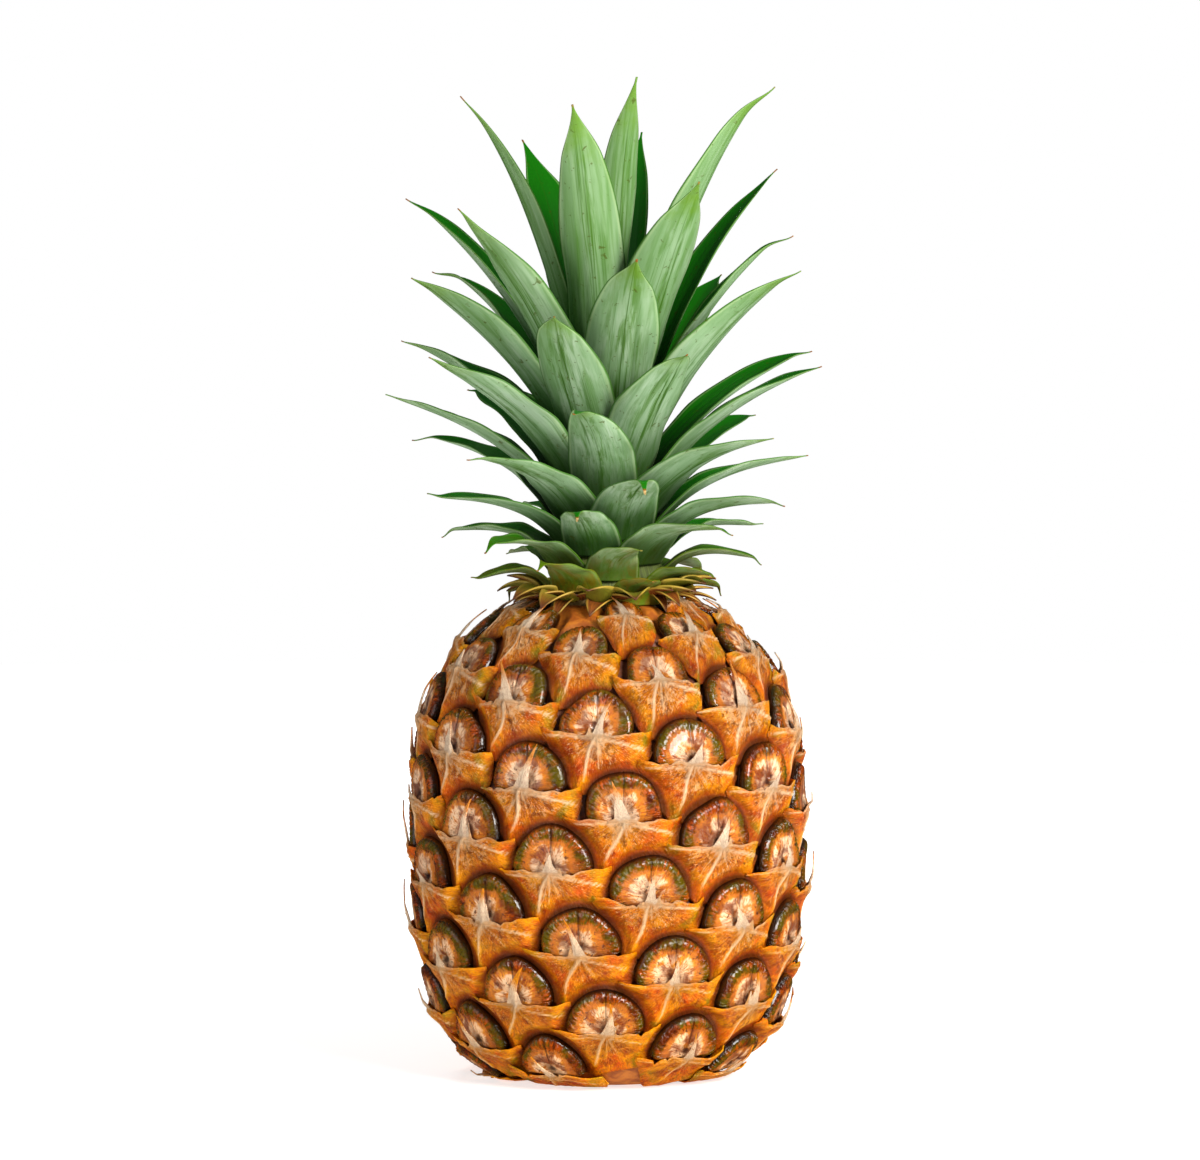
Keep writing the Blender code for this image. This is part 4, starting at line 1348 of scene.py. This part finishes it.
def crown_stem(crown):
    """A better finish for the packed stem, which shows between the lowest leaves."""
    material, wires, shader = new_material("stem_flesh")
    x, y, z = wires.split(wires.place())
    turn = wires.maths("ARCTAN2", x, y)
    lines = wires.fibres(z, turn, 2.0, 40.0, 1.0)
    colour = wires.mix(lines, srgb(66, 76, 24), tuple(crown.stem))
    low = wires.between(z, CROWN_SEAT + 9 * MM, CROWN_SEAT + 2 * MM)
    colour = wires.mix(wires.times(low, 0.8), colour, srgb(110, 76, 30))
    wires.put(shader.inputs["Base Color"], colour)
    shader.inputs["Roughness"].default_value = 0.6
    bump(wires, shader, lines, 0.5, 0.3 * MM)
    refinished("crown_stem", material)


def stalk_stub():
    """A better finish for the packed stalk: a pale fibrous cut with a darker ring."""
    material, wires, shader = new_material("cut_stalk")
    x, y = wires.split(wires.place())[:2]
    flat = wires.combine(x, y, 0.0)
    reach = wires.size(flat)
    dots = wires.node("ShaderNodeTexVoronoi", {"Vector": flat, "Scale": 900.0}).outputs["Distance"]
    fleck = wires.between(dots, 0.45, 0.1)
    colour = wires.mix(wires.noise(flat, 260.0, 4.0), srgb(196, 164, 108), srgb(150, 108, 60))
    colour = wires.mix(wires.times(fleck, 0.6), colour, srgb(104, 66, 34))
    ring = wires.between(reach, STALK_RADIUS - 2.2 * MM, STALK_RADIUS - 0.4 * MM)
    colour = wires.mix(wires.times(ring, 0.75), colour, srgb(92, 56, 24))
    wires.put(shader.inputs["Base Color"], colour)
    shader.inputs["Roughness"].default_value = 0.82
    bump(wires, shader, fleck, 0.6, 0.4 * MM)
    refinished("stalk_stub", material)


# --- The stage -----------------------------------------------------------------------------------------


def stage_floor(settings):
    """A round floor, white as a lit table, that fades into the white backdrop."""
    circle = bpy.ops.mesh.primitive_circle_add
    piece = added("floor", circle, vertices=96, radius=FLOOR_RADIUS, fill_type="NGON")
    material, wires, shader = new_material("pale_floor")
    shader.inputs["Base Color"].default_value = (*settings.floor, 1.0)
    shader.inputs["Roughness"].default_value = 0.9
    shader.inputs["Specular IOR Level"].default_value = 0.1
    reach = wires.size(wires.place())
    far = wires.between(reach, 0.12, 0.7)
    glow = wires.mix(far, (settings.floor_glow,) * 3, (1.0, 1.0, 1.0))
    wires.put(shader.inputs["Emission Color"], glow)
    shader.inputs["Emission Strength"].default_value = 1.0
    # The floor is met by bounced light alone, which leaves less grain on the leaves.
    material.cycles.emission_sampling = "NONE"
    piece.data.materials.append(material)
    piece.visible_glossy = False


def area_light(name, place, size, power, colour=(1.0, 1.0, 1.0)):
    """A round lamp that looks at the pineapple."""
    data = bpy.data.lights.new(name, "AREA")
    data.shape = "DISK"
    data.size = size
    data.energy = power
    data.color = colour
    lamp = bpy.data.objects.new(name, data)
    bpy.context.scene.collection.objects.link(lamp)
    lamp.location = place
    aim(lamp, LAMP_AIM)
    return lamp


def aim(thing, target):
    """Turns a lamp or a camera to look at the target."""
    ahead = Vector(target) - Vector(thing.location)
    thing.rotation_euler = ahead.to_track_quat("-Z", "Y").to_euler()


def lights(settings):
    """A large key light from the right, a soft fill from the left, a rim light and a white sky."""
    area_light("key", KEY_PLACE, KEY_SIZE, settings.key_power, (1.0, 0.985, 0.96))
    area_light("fill", FILL_PLACE, FILL_SIZE, settings.fill_power)
    back = area_light("back", BACK_PLACE, BACK_SIZE, settings.back_power)
    # Leaves seen edge-on would mirror it as glare.
    back.visible_glossy = False
    world = bpy.data.worlds.new("studio")
    world.use_nodes = True
    wires = Wiring(world.node_tree)
    background = world.node_tree.nodes["Background"]
    background.inputs["Color"].default_value = (1.0, 1.0, 1.0, 1.0)
    # The backdrop is plain white, while the light that it gives is softer and hardly mirrored.
    rays = wires.node("ShaderNodeLightPath").outputs
    given = wires.between(rays["Is Glossy Ray"], 0.0, 1.0, settings.sky, settings.sky * 0.15)
    wires.put(background.inputs["Strength"], wires.maths("MAXIMUM", given, rays["Is Camera Ray"]))
    bpy.context.scene.world = world


def camera(settings):
    """A long lens that looks a little down at the middle of the pineapple."""
    data = bpy.data.cameras.new("camera")
    data.lens = settings.lens
    data.sensor_width = 36.0
    data.clip_start = 0.05
    eye = bpy.data.objects.new("camera", data)
    bpy.context.scene.collection.objects.link(eye)
    away = settings.lens / data.sensor_width * settings.view_width
    target = (-settings.view_side, 0.0, settings.view_height)
    eye.location = (
        target[0],
        -away * math.cos(settings.elevation),
        target[2] + away * math.sin(settings.elevation),
    )
    aim(eye, target)
    bpy.context.scene.camera = eye


def stage(settings):
    stage_floor(settings)
    lights(settings)
    camera(settings)
    bpy.context.scene.view_settings.view_transform = "Standard"


# --- The add-on ----------------------------------------------------------------------------------------


class PINEAPPLE_OT_fruit_skin(bpy.types.Operator):
    """Make the grooved skin under the eyes"""

    bl_idname = "pineapple.fruit_skin"
    bl_label = "Fruit Skin"

    def execute(self, context):
        fruit_skin(context.scene.pineapple_rind)
        return {"FINISHED"}


class PINEAPPLE_OT_eyes(bpy.types.Operator):
    """Make the fan-shaped eyes"""

    bl_idname = "pineapple.eyes"
    bl_label = "Eyes"

    def execute(self, context):
        eyes(context.scene.pineapple_rind)
        return {"FINISHED"}


class PINEAPPLE_OT_bracts(bpy.types.Operator):
    """Make the papery bracts with their spikes"""

    bl_idname = "pineapple.bracts"
    bl_label = "Bracts"

    def execute(self, context):
        bracts(context.scene.pineapple_rind)
        return {"FINISHED"}


class PINEAPPLE_OT_crown_leaves(bpy.types.Operator):
    """Make the leaves of the crown"""

    bl_idname = "pineapple.crown_leaves"
    bl_label = "Crown Leaves"

    def execute(self, context):
        crown_leaves(context.scene.pineapple_crown)
        return {"FINISHED"}


class PINEAPPLE_OT_foot_bracts(bpy.types.Operator):
    """Make the small dry leaves round the crown's foot"""

    bl_idname = "pineapple.foot_bracts"
    bl_label = "Foot Bracts"

    def execute(self, context):
        foot_bracts()
        return {"FINISHED"}


class PINEAPPLE_OT_stems(bpy.types.Operator):
    """Finish the crown's stem and the cut stalk"""

    bl_idname = "pineapple.stems"
    bl_label = "Stem and Stalk"

    def execute(self, context):
        crown_stem(context.scene.pineapple_crown)
        stalk_stub()
        return {"FINISHED"}


class PINEAPPLE_OT_stage(bpy.types.Operator):
    """Make the floor, the lights and the camera"""

    bl_idname = "pineapple.stage"
    bl_label = "Stage"

    def execute(self, context):
        stage(context.scene.pineapple_stage)
        return {"FINISHED"}


class PINEAPPLE_PT_panel(bpy.types.Panel):
    """Lists the pineapple's pieces and their settings"""

    bl_idname = "PINEAPPLE_PT_panel"
    bl_label = "Pineapple"
    bl_space_type = "VIEW_3D"
    bl_region_type = "UI"
    bl_category = "Pineapple"

    def draw(self, context):
        for operator in OPERATORS:
            self.layout.operator(operator.bl_idname)
        for name, settings in SETTINGS.items():
            box = self.layout.box()
            box.label(text=settings.__doc__)
            group = getattr(context.scene, name)
            for key in settings.__annotations__:
                box.prop(group, key)


SETTINGS = {
    "pineapple_rind": PineappleRind,
    "pineapple_crown": PineappleCrown,
    "pineapple_stage": PineappleStage,
}
OPERATORS = (
    PINEAPPLE_OT_stage,
    PINEAPPLE_OT_fruit_skin,
    PINEAPPLE_OT_eyes,
    PINEAPPLE_OT_bracts,
    PINEAPPLE_OT_crown_leaves,
    PINEAPPLE_OT_foot_bracts,
    PINEAPPLE_OT_stems,
)


def register():
    for name, settings in SETTINGS.items():
        bpy.utils.register_class(settings)
        setattr(bpy.types.Scene, name, PointerProperty(type=settings))
    for operator in OPERATORS:
        bpy.utils.register_class(operator)
    bpy.utils.register_class(PINEAPPLE_PT_panel)


def unregister():
    bpy.utils.unregister_class(PINEAPPLE_PT_panel)
    for operator in reversed(OPERATORS):
        bpy.utils.unregister_class(operator)
    for name, settings in SETTINGS.items():
        delattr(bpy.types.Scene, name)
        bpy.utils.unregister_class(settings)


def main():
    register()
    for operator in OPERATORS:
        group, name = operator.bl_idname.split(".")
        getattr(getattr(bpy.ops, group), name)()


if __name__ == "__main__":
    main()
